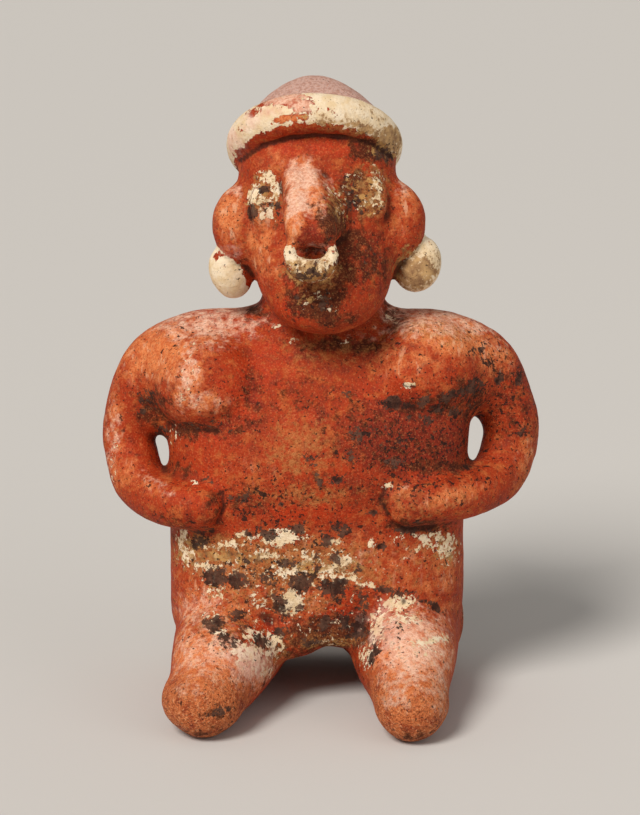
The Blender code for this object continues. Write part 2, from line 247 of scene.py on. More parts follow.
# Lumps: centre, radii, turn in degrees about X, Y and Z.
BODY_LUMPS = (
    # neck and buttocks
    ((1, 1, 158), (24.5, 19, 24), (0, 0, 0)),
    ((-33, 8, 23), (26.5, 28.5, 25), (0, 0, 0)),
    ((33, 8, 23), (26.5, 28.5, 25), (0, 0, 0)),
    # breasts, and the clay that joins them to the shoulders
    ((-43.5, -15.5, 128), (22.5, 18.5, 20.5), (-26, 0, 0)),
    ((40, -13.5, 133.5), (23.5, 18.5, 21), (-28, 0, 0)),
    ((-56, -6, 130), (15, 15, 20), (0, 0, 0)),
    ((58, -5, 130), (13, 15, 18), (0, 0, 0)),
    # armpit, belly and crotch
    ((-64, -3, 113), (8.5, 9, 9), (0, 0, 0)),
    ((1, -20, 94), (47, 20.5, 36), (0, 0, 0)),
    ((-12, -29.5, 29), (17, 9.5, 10.7), (0, -7, 0)),
    ((8, -29, 32), (11, 9, 9), (0, 0, 0)),
    # ears
    ((-28.6, -11.5, 190.6), (14.2, 11.5, 16.6), (-21, 0, 0)),
    ((27.4, -11.5, 191.4), (14.2, 11.5, 16.8), (-21, 0, 0)),
)
LEFT_ORNAMENT = ((-35.0, -11.5, 172.0), (8.6, 7.6, 11.2), (0, -16, 0))
RIGHT_ORNAMENT = ((38.0, -10.5, 174.4), (9.6, 8.2, 11.4), (0, 14, 0))
# Pellets pressed on the face, eyes and mouth: across, station, half width, half height.
PELLETS = ((-20.6, 32.5, 7.2, 9.6), (16.2, 34.0, 9.6, 11.0), (-0.5, -4.0, 8.0, 3.6))
PELLET_THICKNESS = 3.2
PELLET_PROUD = 0.8

# Nose: its top in the head, and down its length the share of it, how proud it stands and its
# thickness as a share. It is two ridges side by side, with slopes on the right: aside, back, thickness.
NOSE_TOP = (-8.4, 48.5, 23.5)
NOSE_THICKNESS = 17.0
NOSE_SWING = 4.4
NOSE_PROFILE = ((0.25, 5.4, 0.62), (0.48, 9.6, 0.76), (0.75, 14.0, 0.87), (1.02, 17.8, 0.86))
NOSE_RIDGES_APART = (3.3, 3.1, 3.4, 3.7)
NOSE_RIDGE_SHARE = 0.86
NOSE_SLOPES = (
    ((1.0, 3.4, 5.2, 5.2), (3.5, 4.2, 6.0, 8.5), 0.94),
    ((3.0, 7.2, 9.2, 7.6), (6.0, 8.0, 11.0, 13.0), 0.84),
)

# Nose ring: a crescent under the tip of the nose, whose thinner horns run up into the nose.
RING_ROLL = 9.2
RING_HALF = 8.3
RING_HANG = Vector((0.0, -4.2, -6.4))
RING_POINTS = 9
RING_SWEEP = math.radians(176.4)
RING_DROP = 0.9
RING_LEAN = 1.2
HORN_SHARE = 0.47
HORN_ROOT = Vector((0.0, 3.2, 2.6))
HORN_ROOT_ASIDE = 0.8
HORN_ROOT_SHARE = 0.6


def through(stations, steps=STEPS):
    """Stations on a smooth curve through the given ones."""
    keys = np.array(stations, float)
    padded = np.vstack([2 * keys[0] - keys[1], keys, 2 * keys[-1] - keys[-2]])
    rows = []
    for i in range(len(keys) - 1):
        before, start, end, after = padded[i : i + 4]
        for t in np.linspace(0.0, 1.0, steps, endpoint=False):
            rows.append(
                start
                + 0.5 * t * (end - before)
                + t * t * (before - 2.5 * start + 2 * end - 0.5 * after)
                + t**3 * (-0.5 * before + 1.5 * start - 1.5 * end + 0.5 * after)
            )
    return np.vstack(rows + [keys[-1]])


def rounded(angle, squareness):
    """Across and depth, each -1 to 1, of a squared-off oval at an angle."""
    c, s = math.cos(angle), math.sin(angle)
    power = 2.0 / squareness
    return math.copysign(abs(c) ** power, c), math.copysign(abs(s) ** power, s)


def head_point(across, station, forward):
    """A place in the leaning head."""
    return HEAD_BASE + Vector((across, 0.0, 0.0)) + HEAD_UP * station + HEAD_FRONT * forward


def add_loft(clay, rings):
    """A closed skin over rings of equal count."""
    loops = [[clay.verts.new(point) for point in ring] for ring in rings]
    for low, high in zip(loops, loops[1:]):
        for i in range(len(low)):
            j = (i + 1) % len(low)
            clay.faces.new((low[i], low[j], high[j], high[i]))
    clay.faces.new(list(reversed(loops[0])))
    clay.faces.new(loops[-1])


def add_piece(clay, piece):
    """Moves a finished lump into the clay."""
    mesh = bpy.data.meshes.new("lump")
    piece.to_mesh(mesh)
    piece.free()
    clay.from_mesh(mesh)
    bpy.data.meshes.remove(mesh)


def turned(place, turn):
    """A placing followed by turns in degrees about X, Y and Z."""
    for axis, degrees in zip("XYZ", turn):
        place = place @ Matrix.Rotation(math.radians(degrees), 4, axis)
    return place


def add_ball(clay, centre, radii, turn=(0, 0, 0)):
    """An oval lump of clay."""
    place = turned(Matrix.Translation(Vector(centre)), turn)
    shape = Matrix.Diagonal((*radii, 1.0))
    ball = bmesh.new()
    bmesh.ops.create_uvsphere(ball, u_segments=32, v_segments=20, radius=1.0, matrix=place @ shape)
    add_piece(clay, ball)


def add_limb(clay, points):
    """A tapering roll of clay with round ends, from a bevelled curve and two balls."""
    smooth = through(points)
    curve = bpy.data.curves.new("roll", "CURVE")
    curve.dimensions = "3D"
    curve.bevel_depth = 1.0
    curve.bevel_resolution = 8
    curve.use_fill_caps = True
    spline = curve.splines.new("POLY")
    spline.points.add(len(smooth) - 1)
    for point, row in zip(spline.points, smooth):
        point.co = (*row[:3], 1.0)
        point.radius = row[3]
    guide = bpy.data.objects.new("roll", curve)
    bpy.context.scene.collection.objects.link(guide)
    graph = bpy.context.evaluated_depsgraph_get()
    mesh = bpy.data.meshes.new_from_object(guide.evaluated_get(graph))
    bpy.data.objects.remove(guide)
    clay.from_mesh(mesh)
    bpy.data.meshes.remove(mesh)
    for row in (smooth[0], smooth[-1]):
        add_ball(clay, row[:3], (row[3],) * 3)


def add_band(clay, across, roll, sides=72, roll_sides=24):
    """The headband: a roll of clay lifted in front, that sags and thickens at the sides."""
    middle = across / 2 - roll / 2
    turn = Matrix.Translation(Vector(BAND_CENTRE)) @ Matrix.Rotation(-BAND_TILT, 4, "X")
    loops = []
    for i in range(sides):
        angle = 2 * math.pi * i / sides
        out = Vector((math.cos(angle), math.sin(angle), 0.0))
        side = abs(out.x) ** 2
        radius = roll / 2 * (BAND_ROLL_IN_FRONT + BAND_ROLL_GAIN * side)
        sag = Vector((0.0, 0.0, -BAND_DROOP * side))
        loop = []
        for j in range(roll_sides):
            around = 2 * math.pi * j / roll_sides
            lift = Vector((0.0, 0.0, math.sin(around) * radius * BAND_SQUASH))
            place = out * (middle + math.cos(around) * radius) + lift
            loop.append(clay.verts.new(turn @ place + sag))
        loops.append(loop)
    for i in range(sides):
        one, two = loops[i], loops[(i + 1) % sides]
        for j in range(roll_sides):
            k = (j + 1) % roll_sides
            clay.faces.new((one[j], two[j], two[k], one[k]))


def add_trunk_and_head(clay):
    """The trunk, as level sections, and the head, as sections along its leaning axis."""
    rings = []
    for height, left, right, front, back, square, rise in through(TRUNK):
        ring = []
        for i in range(AROUND):
            across, depth = rounded(2 * math.pi * i / AROUND, square)
            x = across * (right if across > 0 else left)
            y = (front + back) / 2 + depth * (back - front) / 2
            ring.append(Vector((x, y, height - depth * rise / 2)))
        rings.append(ring)
    add_loft(clay, rings)
    rings = []
    for station, middle, half, face, nape, square in through(HEAD):
        ring = []
        for i in range(AROUND):
            across, depth = rounded(2 * math.pi * i / AROUND, square)
            forward = (face + nape) / 2 - depth * (face - nape) / 2
            ring.append(head_point(middle + across * half, station, forward))
        rings.append(ring)
    add_loft(clay, rings)


def face_depth(across, station):
    """How far the skin of the face stands in front of the head's axis."""
    rows = through(HEAD)
    middle, half, face, nape, square = (
        float(np.interp(station, rows[:, 0], rows[:, i])) for i in range(1, 6)
    )
    share = min(abs(across - middle) / half, 0.98)
    bulge = (1.0 - share**square) ** (1.0 / square)
    return (face + nape) / 2 + (face - nape) / 2 * bulge


def arm_rows(points, hand, sizes):
    """The line of one arm out to its hand: place and radius."""
    rows = [(x, y, z, share * sizes.arm_thickness / MM / 2) for x, y, z, share in points]
    rows.append((*hand, sizes.hand_thickness / MM / 2))
    return rows


def add_leg(clay, points, toe, sizes):
    """One short leg, whose end spreads sideways a little as a stub of a foot."""
    radius = sizes.foot_thickness / MM / 2
    reach = sizes.leg_reach / MM - radius
    rows = [(x, -share * reach, z, thick / 2) for x, share, z, thick in points]
    across, share, height, spread = toe
    rows.append((across, -share * reach, height, radius))
    add_limb(clay, rows)
    centre = (across, -share * reach + FOOT_SET_BACK, height)
    add_ball(clay, centre, (radius * spread, radius + FOOT_SET_BACK, radius))


def nose_line(sizes):
    """The middle of the nose from the brow to its tip: place and radius."""
    top = head_point(*NOSE_TOP)
    down = -HEAD_UP * sizes.nose_length / MM
    rows = []
    for share, proud, thick in NOSE_PROFILE:
        place = top + down * share + HEAD_FRONT * proud + Vector((NOSE_SWING * share, 0, 0))
        rows.append((*place, thick * NOSE_THICKNESS / 2))
    return rows


def ring_line(sizes):
    """The crescent of clay at the tip of the nose, from horn to horn: place and radius."""
    hang = Vector(nose_line(sizes)[-1][:3]) + RING_HANG
    rows = []
    for i in range(RING_POINTS):
        swing = RING_SWEEP * (i / (RING_POINTS - 1) - 0.5)
        low = math.cos(swing)
        hanging = Vector((math.sin(swing) * RING_HALF, -RING_LEAN * low, -low * RING_HALF * RING_DROP))
        radius = RING_ROLL / 2 * (HORN_SHARE + (1 - HORN_SHARE) * max(low, 0.0))
        rows.append((*(hang + hanging), radius))
    for at, side in ((0, -1.0), (RING_POINTS + 1, 1.0)):
        place = hang + HORN_ROOT + Vector((side * RING_HALF * HORN_ROOT_ASIDE, 0.0, 0.0))
        rows.insert(at, (*place, RING_ROLL / 2 * HORN_ROOT_SHARE))
    return rows


def add_nose(clay, sizes):
    """The long broad nose, flat in front with a sloping flank, and the crescent of clay on its tip."""
    line = nose_line(sizes)
    for side in (-1.0, 1.0):
        ridge = []
        for (x, y, z, radius), apart in zip(line, NOSE_RIDGES_APART):
            ridge.append((x + side * apart, y, z, radius * NOSE_RIDGE_SHARE))
        add_limb(clay, ridge)
    for asides, backs, share in NOSE_SLOPES:
        slope = []
        for (x, y, z, radius), aside, back in zip(line, asides, backs):
            slope.append((x + aside, y + back, z + 0.5, radius * share))
        add_limb(clay, slope)
    add_limb(clay, ring_line(sizes))


def add_pellet(clay, across, station, half_across, half_up):
    """A flat pellet pressed on the face, standing a little proud of it."""
    forward = face_depth(across, station) + PELLET_PROUD - PELLET_THICKNESS
    radii = (half_across, PELLET_THICKNESS, half_up)
    add_ball(clay, head_point(across, station, forward), radii, (-math.degrees(HEAD_TILT), 0, 0))


def blended(clay, name, voxel, repeats):
    """One smooth skin over all the lumps in the clay, as a mesh."""
    bmesh.ops.recalc_face_normals(clay, faces=clay.faces)
    mesh = bpy.data.meshes.new(name)
    clay.to_mesh(mesh)
    clay.free()
    lumps = bpy.data.objects.new(name, mesh)
    bpy.context.scene.collection.objects.link(lumps)
    skin = lumps.modifiers.new("one skin", "REMESH")
    skin.mode = "VOXEL"
    skin.voxel_size = voxel
    smooth = lumps.modifiers.new("wet hand", "SMOOTH")
    smooth.factor = 0.5
    smooth.iterations = repeats
    graph = bpy.context.evaluated_depsgraph_get()
    made = bpy.data.meshes.new_from_object(lumps.evaluated_get(graph))
    bpy.data.objects.remove(lumps)
    bpy.data.meshes.remove(mesh)
    return made


def modelled(sizes):
    """The whole figure as one fine skin, in figure millimetres."""
    masses = bmesh.new()
    add_trunk_and_head(masses)
    for centre, radii, turn in BODY_LUMPS:
        add_ball(masses, centre, radii, turn)
    left_arm = arm_rows(LEFT_ARM, LEFT_HAND, sizes)
    right_arm = arm_rows(RIGHT_ARM, RIGHT_HAND, sizes)
    add_limb(masses, left_arm)
    add_limb(masses, right_arm)
    add_leg(masses, LEFT_LEG, LEFT_TOE, sizes)
    add_leg(masses, RIGHT_LEG, RIGHT_TOE, sizes)
    body = blended(masses, "masses", BODY_GRAIN, BODY_BLEND)

    whole = bmesh.new()
    whole.from_mesh(body)
    bpy.data.meshes.remove(body)
    add_limb(whole, left_arm[FOREARM_FROM:])
    add_limb(whole, right_arm[FOREARM_FROM:])
    add_band(whole, sizes.band_across / MM, sizes.band_roll / MM)
    add_nose(whole, sizes)
    add_ball(whole, *LEFT_ORNAMENT)
    add_ball(whole, *RIGHT_ORNAMENT)
    for pellet in PELLETS:
        add_pellet(whole, *pellet)
    return blended(whole, "figure", sizes.grain / MM, DETAIL_BLEND)


# Surface arrays

def taken(rows, name, wide=3, kind=np.float32):
    """A value of each row of mesh data, as an array."""
    values = np.empty(len(rows) * wide, kind)
    rows.foreach_get(name, values)
    return values.reshape(-1, wide)


def positions(mesh):
    """Places of the vertices, a row for each."""
    return taken(mesh.vertices, "co").astype(float)


def put_positions(mesh, co):
    """Moves the vertices to the places given."""
    mesh.vertices.foreach_set("co", co.astype(np.float32).ravel())
    mesh.update()


def vertex_normals(mesh):
    """Outward directions of the vertices, a row for each."""
    return taken(mesh.vertex_normals, "vector").astype(float)


def softened(mesh, values, repeats):
    """Values averaged with those of the neighbouring vertices, repeats times."""
    one, two = taken(mesh.edges, "vertices", 2, np.int32).T
    count = len(mesh.vertices)
    near = np.bincount(one, minlength=count) + np.bincount(two, minlength=count)
    flat = values.reshape(count, -1).copy()
    for _ in range(repeats):
        for k in range(flat.shape[1]):
            total = np.bincount(one, flat[two, k], count) + np.bincount(two, flat[one, k], count)
            flat[:, k] = 0.5 * flat[:, k] + 0.5 * total / np.maximum(near, 1)
    return flat.reshape(values.shape)


def step(low, high, values):
    """Smooth step from 0 at low to 1 at high, either way round."""
    t = np.clip((values - low) / (high - low), 0.0, 1.0)
    return t * t * (3 - 2 * t)


def seen_from_camera(co, normals):
    """Where each vertex (figure millimetres) falls in the photograph, and how much it faces it."""
    away, tilt = CAMERA_AWAY / MM, CAMERA_RAISED
    up = co[:, 2] - CAMERA_TARGET_HEIGHT / MM
    depth = away + co[:, 1] * math.cos(tilt) - up * math.sin(tilt)
    px = PHOTO_WIDE / 2 + FOCAL_PIXELS * co[:, 0] / depth
    py = PHOTO_HIGH / 2 - FOCAL_PIXELS * (co[:, 1] * math.sin(tilt) + up * math.cos(tilt)) / depth
    toward = normals @ np.array([0.0, -math.cos(tilt), math.sin(tilt)])
    return px, py, step(0.02, 0.32, toward)


def most(*layers):
    """The strongest of several coverages at each vertex."""
    return np.maximum.reduce(layers)


def wander(co, grain, seed):
    """A soft random vector at each place, about -1 to 1, that turns over every grain millimetres."""
    shift = Vector((seed, 2.0 * seed, 3.0 * seed))
    return np.array([noise.noise_vector(Vector(place) / grain + shift) for place in co.tolist()])


def marks_on(px, py, facing, marks):
    """Coverage of soft oval marks: x, y, half width, half height, strength, and a slant in degrees."""
    cover = np.zeros(len(px))
    for x, y, half_wide, half_high, strength, *slant in marks:
        turn = math.radians(sum(slant))
        c, s = math.cos(turn), math.sin(turn)
        u = ((px - x) * c + (py - y) * s) / half_wide
        v = ((py - y) * c - (px - x) * s) / half_high
        cover = np.maximum(cover, strength * np.exp(-0.9 * (u * u + v * v) ** 1.5))
    return cover * facing


# Marks in the photograph's pixels: x, y, half width, half height, strength, and a slant if it has one.

CREAM_MARKS = (
    # left eye
    (254, 196, 7, 12, 0.9), (268, 178, 12, 9, 0.62), (275, 190, 6, 14, 0.78), (263, 201, 10, 6, 0.7),
    (262, 216, 4, 7, 0.9, -15), (271, 215, 4.5, 8, 0.9),
    # right eye
    (376, 188, 8, 20, 0.66, -8), (354, 177, 11, 6, 0.36), (368, 204, 16, 10, 0.4),
    (347, 196, 6, 12, 0.4),
    # flecks on the right flank of the nose, which also lighten its shaded side as painted light
    (334, 192, 6, 12, 0.36, -30), (340, 208, 5, 12, 0.34, -10),
    # flecks round the mouth
    (319, 294, 12, 6, 0.42), (308, 305, 6, 4, 0.4), (330, 310, 6, 4, 0.35),
    # crumbs all over the skirt
    (265, 568, 84, 34, 0.3), (300, 610, 90, 34, 0.22), (400, 560, 60, 30, 0.1),
    # left edge of the skirt and its first row
    (181, 540, 6, 11, 0.8), (189, 555, 7, 14, 0.82, 30), (207, 567, 17, 4.5, 0.76, 8),
    (228, 544, 17, 7, 0.55, -10), (246, 536, 12, 5, 0.55), (281, 537, 23, 8, 0.82),
    (268, 556, 22, 6, 0.66, 8), (236, 562, 20, 4, 0.5), (205, 545, 8, 4, 0.4),
    # middle of the skirt
    (292, 602, 13, 14, 0.95), (331, 570, 19, 9, 0.78, -10), (310, 558, 14, 8, 0.66),
    (345, 560, 18, 7, 0.66, 10), (332, 542, 12, 6, 0.55), (290, 571, 22, 7, 0.66),
    (215, 592, 12, 7, 0.55), (212, 618, 8, 8, 0.6), (325, 641, 28, 5, 0.4), (262, 600, 12, 8, 0.42),
    (345, 578, 18, 5, 0.6), (318, 586, 18, 5, 0.5), (362, 581, 16, 5, 0.5, 20),
    # right of the skirt
    (398, 537, 10, 4, 0.5), (424, 541, 14, 6, 0.72, 20), (447, 548, 11, 16, 0.72),
    (438, 536, 10, 6, 0.7), (412, 549, 9, 5, 0.45),
    # thighs
    (398, 603, 18, 9, 0.78, -15), (378, 626, 9, 20, 0.7, 12), (430, 640, 20, 5, 0.78, -6),
    (405, 620, 18, 7, 0.62), (245, 652, 24, 14, 0.76, 20), (272, 644, 13, 16, 0.72),
    (262, 668, 16, 8, 0.6, 40), (368, 655, 8, 16, 0.62, 10), (256, 634, 16, 6, 0.6),
    (220, 630, 8, 10, 0.5), (390, 645, 12, 6, 0.45), (420, 652, 18, 4, 0.45),
    # chips of cream on the chest and neck
    (410, 385, 8, 3, 1), (277, 327, 8, 2.6, 0.6, -25), (292, 342, 4, 3, 0.5), (345, 340, 5, 4, 0.75),
    (392, 318, 7, 5, 0.6), (373, 544, 4.5, 4.5, 0.9), (386, 487, 7, 3, 0.8), (195, 482, 4, 3, 0.8),
    (240, 329, 5, 3, 0.4),
    # scuffs on the left breast and arm
    (190, 360, 8, 24, 0.24, 8), (186, 398, 9, 16, 0.26), (110, 460, 8, 30, 0.26),
    (176, 436, 8, 12, 0.24),
)

DARK_MARKS = (
    # left eye; its thin mark on the side by the nose is the nose's shadow, painted
    (263, 189, 6, 6, 1), (253, 211, 4, 9, 1, -20), (279, 208, 2.4, 12, 0.8),
    (265, 206, 7, 2.4, 0.85, 10), (257, 181, 3, 4, 0.5), (267, 215, 1.6, 6, 0.7),
    # right eye
    (353, 205, 9, 9, 0.6), (380, 210, 7, 5, 0.5), (353, 190, 6, 5, 0.55), (363, 214, 9, 5, 0.5),
    (347, 180, 6, 8, 0.4), (356, 192, 14, 22, 0.32), (366, 196, 22, 24, 0.28), (266, 196, 17, 25, 0.22),
    (336, 214, 10, 18, 0.3, -10),
    # cracks of the nose ring
    (298, 270, 1.8, 9, 0.9, -8), (312, 268, 1.8, 9, 0.9, 6), (324, 270, 1.8, 9, 0.9, 12),
    (311, 276, 20, 4, 0.7), (313, 270, 7, 5, 0.66, -20),
    # mouth, temple and cheek; the marks beside the nose tip and on the right cheek are the nose's
    # shadow, painted
    (325, 300, 8, 14, 0.5, 10), (300, 297, 5, 5, 0.6), (384, 152, 14, 12, 0.62), (328, 245, 6, 14, 0.4),
    (372, 262, 16, 20, 0.28),
    # crumbs all over the skirt
    (265, 568, 84, 34, 0.22), (300, 610, 80, 34, 0.18),
    # first row of the skirt
    (200, 541, 11, 8, 0.78, 10), (250, 534, 10, 4, 0.6), (267, 534, 9, 6, 0.95, 20),
    (298, 529, 11, 6, 0.9), (325, 538, 6, 8, 0.95), (342, 530, 12, 9, 0.85),
    (286, 563, 12, 6, 0.75, 10), (243, 561, 6, 5, 0.7), (312, 545, 6, 6, 0.6),
    # middle of the skirt
    (214, 577, 12, 11, 0.92), (236, 580, 13, 10, 0.85), (268, 577, 13, 9, 0.6),
    (301, 582, 12, 12, 1, -30), (315, 572, 10, 5, 0.95, -40), (334, 587, 16, 9, 1, -5),
    (279, 606, 9, 18, 0.8, -25), (336, 558, 7, 6, 0.85), (317, 557, 5, 7, 0.7), (337, 600, 5, 5, 0.9),
    (300, 607, 5, 5, 0.7), (356, 570, 7, 4, 0.7), (226, 565, 10, 4, 0.6, 10), (246, 602, 8, 8, 0.45),
    (285, 590, 6, 6, 0.6),
    # edge of the lap: dark paint, with painted shade where the belly curves under towards the crotch
    (362, 600, 7, 16, 0.66, -10), (390, 591, 22, 5, 0.8, 8), (436, 607, 11, 5, 1, 32),
    (380, 547, 4, 3.4, 1), (325, 624, 8, 9, 0.95, 20), (345, 620, 7, 12, 0.75), (360, 628, 9, 13, 0.72),
    (350, 636, 8, 5, 0.7), (308, 640, 15, 5, 0.8), (374, 654, 5, 13, 0.9, 15), (214, 623, 11, 10, 0.9),
    (235, 616, 11, 6, 0.7), (228, 642, 15, 9, 0.7, 20), (262, 640, 11, 8, 0.9, 20),
    (281, 632, 8, 6, 0.7), (420, 600, 6, 3, 0.8), (397, 627, 5, 3, 0.7), (245, 625, 8, 6, 0.5),
    (186, 640, 5, 4, 0.5),
    # painted shade in the creases under the hands, and a smear on the foot
    (411, 531, 22, 3.2, 1, -2), (220, 712, 14, 5, 0.75, -15), (200, 531, 24, 3, 0.6, 2),
    (205, 530, 8, 8, 0.4),
    # right breast and side: dark blotches, and painted shade under the breast
    (394, 404, 9, 7, 1), (410, 405, 6, 5, 0.75), (424, 401, 9, 6, 0.8, -20), (437, 409, 8, 5, 0.75),
    (448, 397, 10, 7, 0.8, -25), (462, 391, 8, 8, 0.7, -20), (456, 410, 8, 6, 0.65),
    (475, 386, 10, 10, 0.75, -20), (470, 405, 6, 8, 0.6), (428, 420, 9, 5, 0.55), (410, 418, 6, 5, 0.5),
    (450, 446, 8, 6, 0.4), (394, 462, 14, 8, 0.62), (384, 448, 9, 7, 0.55), (412, 440, 6, 6, 0.5),
    (434, 434, 6, 6, 0.5), (372, 428, 6, 8, 0.5), (357, 434, 8, 12, 0.6, 20), (349, 457, 8, 7, 0.6),
    (346, 393, 4, 7, 0.6), (310, 461, 8, 8, 0.5), (321, 479, 7, 7, 0.65), (337, 480, 6, 6, 0.8),
    (243, 499, 6, 5, 0.85), (230, 497, 6, 4, 0.75), (307, 409, 7, 5, 0.5), (373, 512, 7, 4, 0.8),
    (280, 505, 8, 4, 0.5), (498, 381, 5, 6, 0.95), (520, 378, 6, 6, 0.75), (481, 351, 4, 4, 0.9),
    (485, 362, 4, 4, 0.8), (521, 432, 7, 6, 0.6), (470, 352, 6, 5, 0.5), (400, 440, 8, 8, 0.5),
    (386, 430, 8, 6, 0.45), (418, 521, 8, 4, 0.6),
    # left armpit and side: soot, with painted shade in the armpit and under the breast
    (148, 400, 14, 12, 0.5), (140, 410, 6, 5, 0.6), (190, 426, 26, 4, 0.5, 8),
    (216, 424, 12, 5, 0.5, 10), (160, 436, 8, 12, 0.8), (208, 481, 8, 4, 0.6, 20),
    (235, 430, 6, 4, 0.45),
)

# Brown soil, with painted shade laid in as soil where the light fails: under the nose, chin and breasts,
# in the armpit and crotch, and the nose's shadow on the right cheek.
SOIL_AND_SHADE_MARKS = (
    # under the nose, mouth and chin: soil, and painted shade under the nose tip, the ring and the chin
    (311, 250, 14, 5, 0.8), (311, 276, 28, 14, 1), (314, 300, 30, 22, 1, 8), (330, 318, 26, 10, 0.85),
    (335, 285, 14, 26, 0.95), (344, 262, 12, 26, 0.95),
    # right cheek, beside the nose, temple: soil, and the nose's shadow on the right cheek painted as
    # soil
    (368, 262, 24, 30, 0.62), (334, 222, 13, 30, 0.95), (374, 150, 26, 15, 0.95, 8),
    (362, 194, 27, 30, 0.85), (352, 240, 22, 18, 0.82), (322, 214, 12, 16, 0.6),
    # left eye and ear
    (266, 200, 20, 28, 0.45), (250, 235, 8, 14, 0.3), (244, 262, 6, 20, 0.4),
    # hollows of the neck: painted shade under the chin and jaw, with soil
    (345, 345, 56, 9, 0.7), (394, 312, 14, 24, 0.6), (258, 312, 14, 12, 0.6), (320, 360, 60, 14, 0.2),
    # right chest, side and belly: soil, with painted shade under the right breast and above the right
    # forearm
    (440, 402, 52, 15, 0.6, -16), (400, 448, 56, 30, 0.44), (352, 430, 46, 36, 0.4),
    (466, 396, 22, 26, 0.6), (510, 400, 30, 50, 0.36), (300, 395, 60, 24, 0.36), (440, 467, 36, 9, 0.8),
    (340, 485, 60, 24, 0.34), (250, 395, 16, 36, 0.46),
    # left armpit, under the left breast, hands: soil, with painted shade in the armpit, under the breast
    # and under the hands
    (152, 408, 20, 20, 0.75), (192, 430, 34, 9, 0.8, 6), (235, 420, 30, 16, 0.5),
    (180, 470, 24, 8, 0.62, 25), (215, 505, 14, 22, 0.5), (245, 500, 24, 20, 0.5),
    (420, 526, 40, 8, 0.7), (170, 520, 40, 8, 0.4, 20), (385, 505, 10, 16, 0.5),
    # skirt and crotch: soil, with painted shade at the crotch
    (260, 545, 70, 14, 0.45), (290, 585, 96, 26, 0.42), (330, 634, 52, 20, 1), (228, 635, 30, 18, 0.5),
    (200, 540, 30, 12, 0.5), (300, 650, 60, 12, 0.7),
    # inner sides of the legs and the undersides of the feet: soil, and painted shade on these undersides
    (270, 690, 16, 34, 0.5, 35), (360, 690, 10, 40, 0.5, -10), (200, 732, 40, 6, 0.5),
    (415, 737, 30, 6, 0.5), (215, 712, 22, 8, 0.5),
    # headband's right end, darker along its lower side, the right ornament
    (385, 134, 18, 13, 0.75, 30), (340, 121, 50, 5, 0.45, 3), (418, 284, 14, 7, 0.4, -20),
)

OCHRE_MARKS = (
    (300, 448, 40, 34, 0.54), (300, 495, 56, 16, 0.5), (330, 350, 80, 16, 0.35),
    (430, 330, 50, 12, 0.5, 12), (400, 500, 26, 16, 0.4), (440, 505, 50, 14, 0.35, -14),
    (374, 194, 18, 28, 0.7), (266, 198, 18, 27, 0.7), (311, 272, 24, 12, 0.8), (416, 280, 18, 12, 0.8),
    # the mark at (336, 205) on the right flank of the nose also lightens its shaded side as painted
    # light
    (336, 205, 9, 20, 0.5, -10), (230, 555, 64, 22, 0.9), (300, 565, 80, 28, 0.85),
    (365, 575, 40, 12, 0.5, 15), (440, 545, 26, 16, 0.5), (290, 600, 60, 18, 0.5),
    (325, 640, 44, 10, 0.45), (230, 620, 40, 16, 0.45), (280, 660, 30, 18, 0.5, 30),
    (345, 130, 60, 5, 0.5, 4), (385, 125, 16, 16, 0.4), (320, 285, 22, 5, 0.6), (415, 560, 40, 30, 0.3),
)

# Orange rubbed slip, and painted highlights where the light falls from the upper left: the bridge of the
# nose, the left cheek, the shoulders, the breasts and the tops of the thighs and knees.
PALE_WEAR_AND_HIGHLIGHT_MARKS = (
    # painted highlight on the bridge of the nose and its flank
    (301, 186, 18, 28, 1), (294, 214, 10, 32, 1), (314, 196, 14, 22, 0.8),
    # cheeks and ears: rubbed slip and painted highlight
    (262, 246, 16, 34, 0.66), (280, 262, 16, 20, 0.4), (228, 212, 16, 30, 0.8), (232, 186, 12, 8, 0.5),
    (408, 204, 13, 24, 0.55), (400, 235, 12, 14, 0.35), (272, 158, 20, 12, 0.4),
    (291, 119, 22, 6, 0.7, -8),
    # shoulders and breasts: rubbed slip and painted highlights
    (188, 380, 16, 34, 0.72, 8), (205, 402, 26, 12, 0.66), (158, 352, 46, 34, 0.78),
    (200, 335, 40, 16, 0.5), (450, 336, 50, 22, 0.85, 14), (492, 356, 24, 18, 0.66, 30),
    (412, 362, 40, 22, 0.45), (114, 420, 10, 50, 0.4), (120, 472, 18, 22, 0.45, 30),
    # forearms
    (150, 486, 28, 9, 0.4, 30), (455, 496, 40, 11, 0.55, -14), (525, 460, 14, 34, 0.45),
    (405, 490, 16, 6, 0.4), (190, 503, 16, 8, 0.3),
    # belly
    (296, 442, 34, 20, 0.22), (255, 470, 30, 20, 0.3),
    # skirt
    (220, 600, 50, 40, 0.5), (330, 560, 90, 34, 0.34), (410, 570, 50, 40, 0.3),
    # thighs, knees and feet: rubbed slip, with painted highlights on their tops
    (205, 655, 42, 38, 0.85), (415, 656, 42, 44, 0.9), (400, 690, 24, 20, 0.7),
    (195, 700, 26, 12, 0.45), (440, 690, 14, 30, 0.6), (190, 612, 18, 30, 0.5), (440, 610, 20, 20, 0.4),
    (262, 680, 18, 24, 0.55, 35), (270, 660, 20, 16, 0.5), (410, 575, 44, 30, 0.3),
    (300, 600, 36, 26, 0.5), (238, 574, 44, 16, 0.45), (446, 566, 14, 24, 0.6),
)

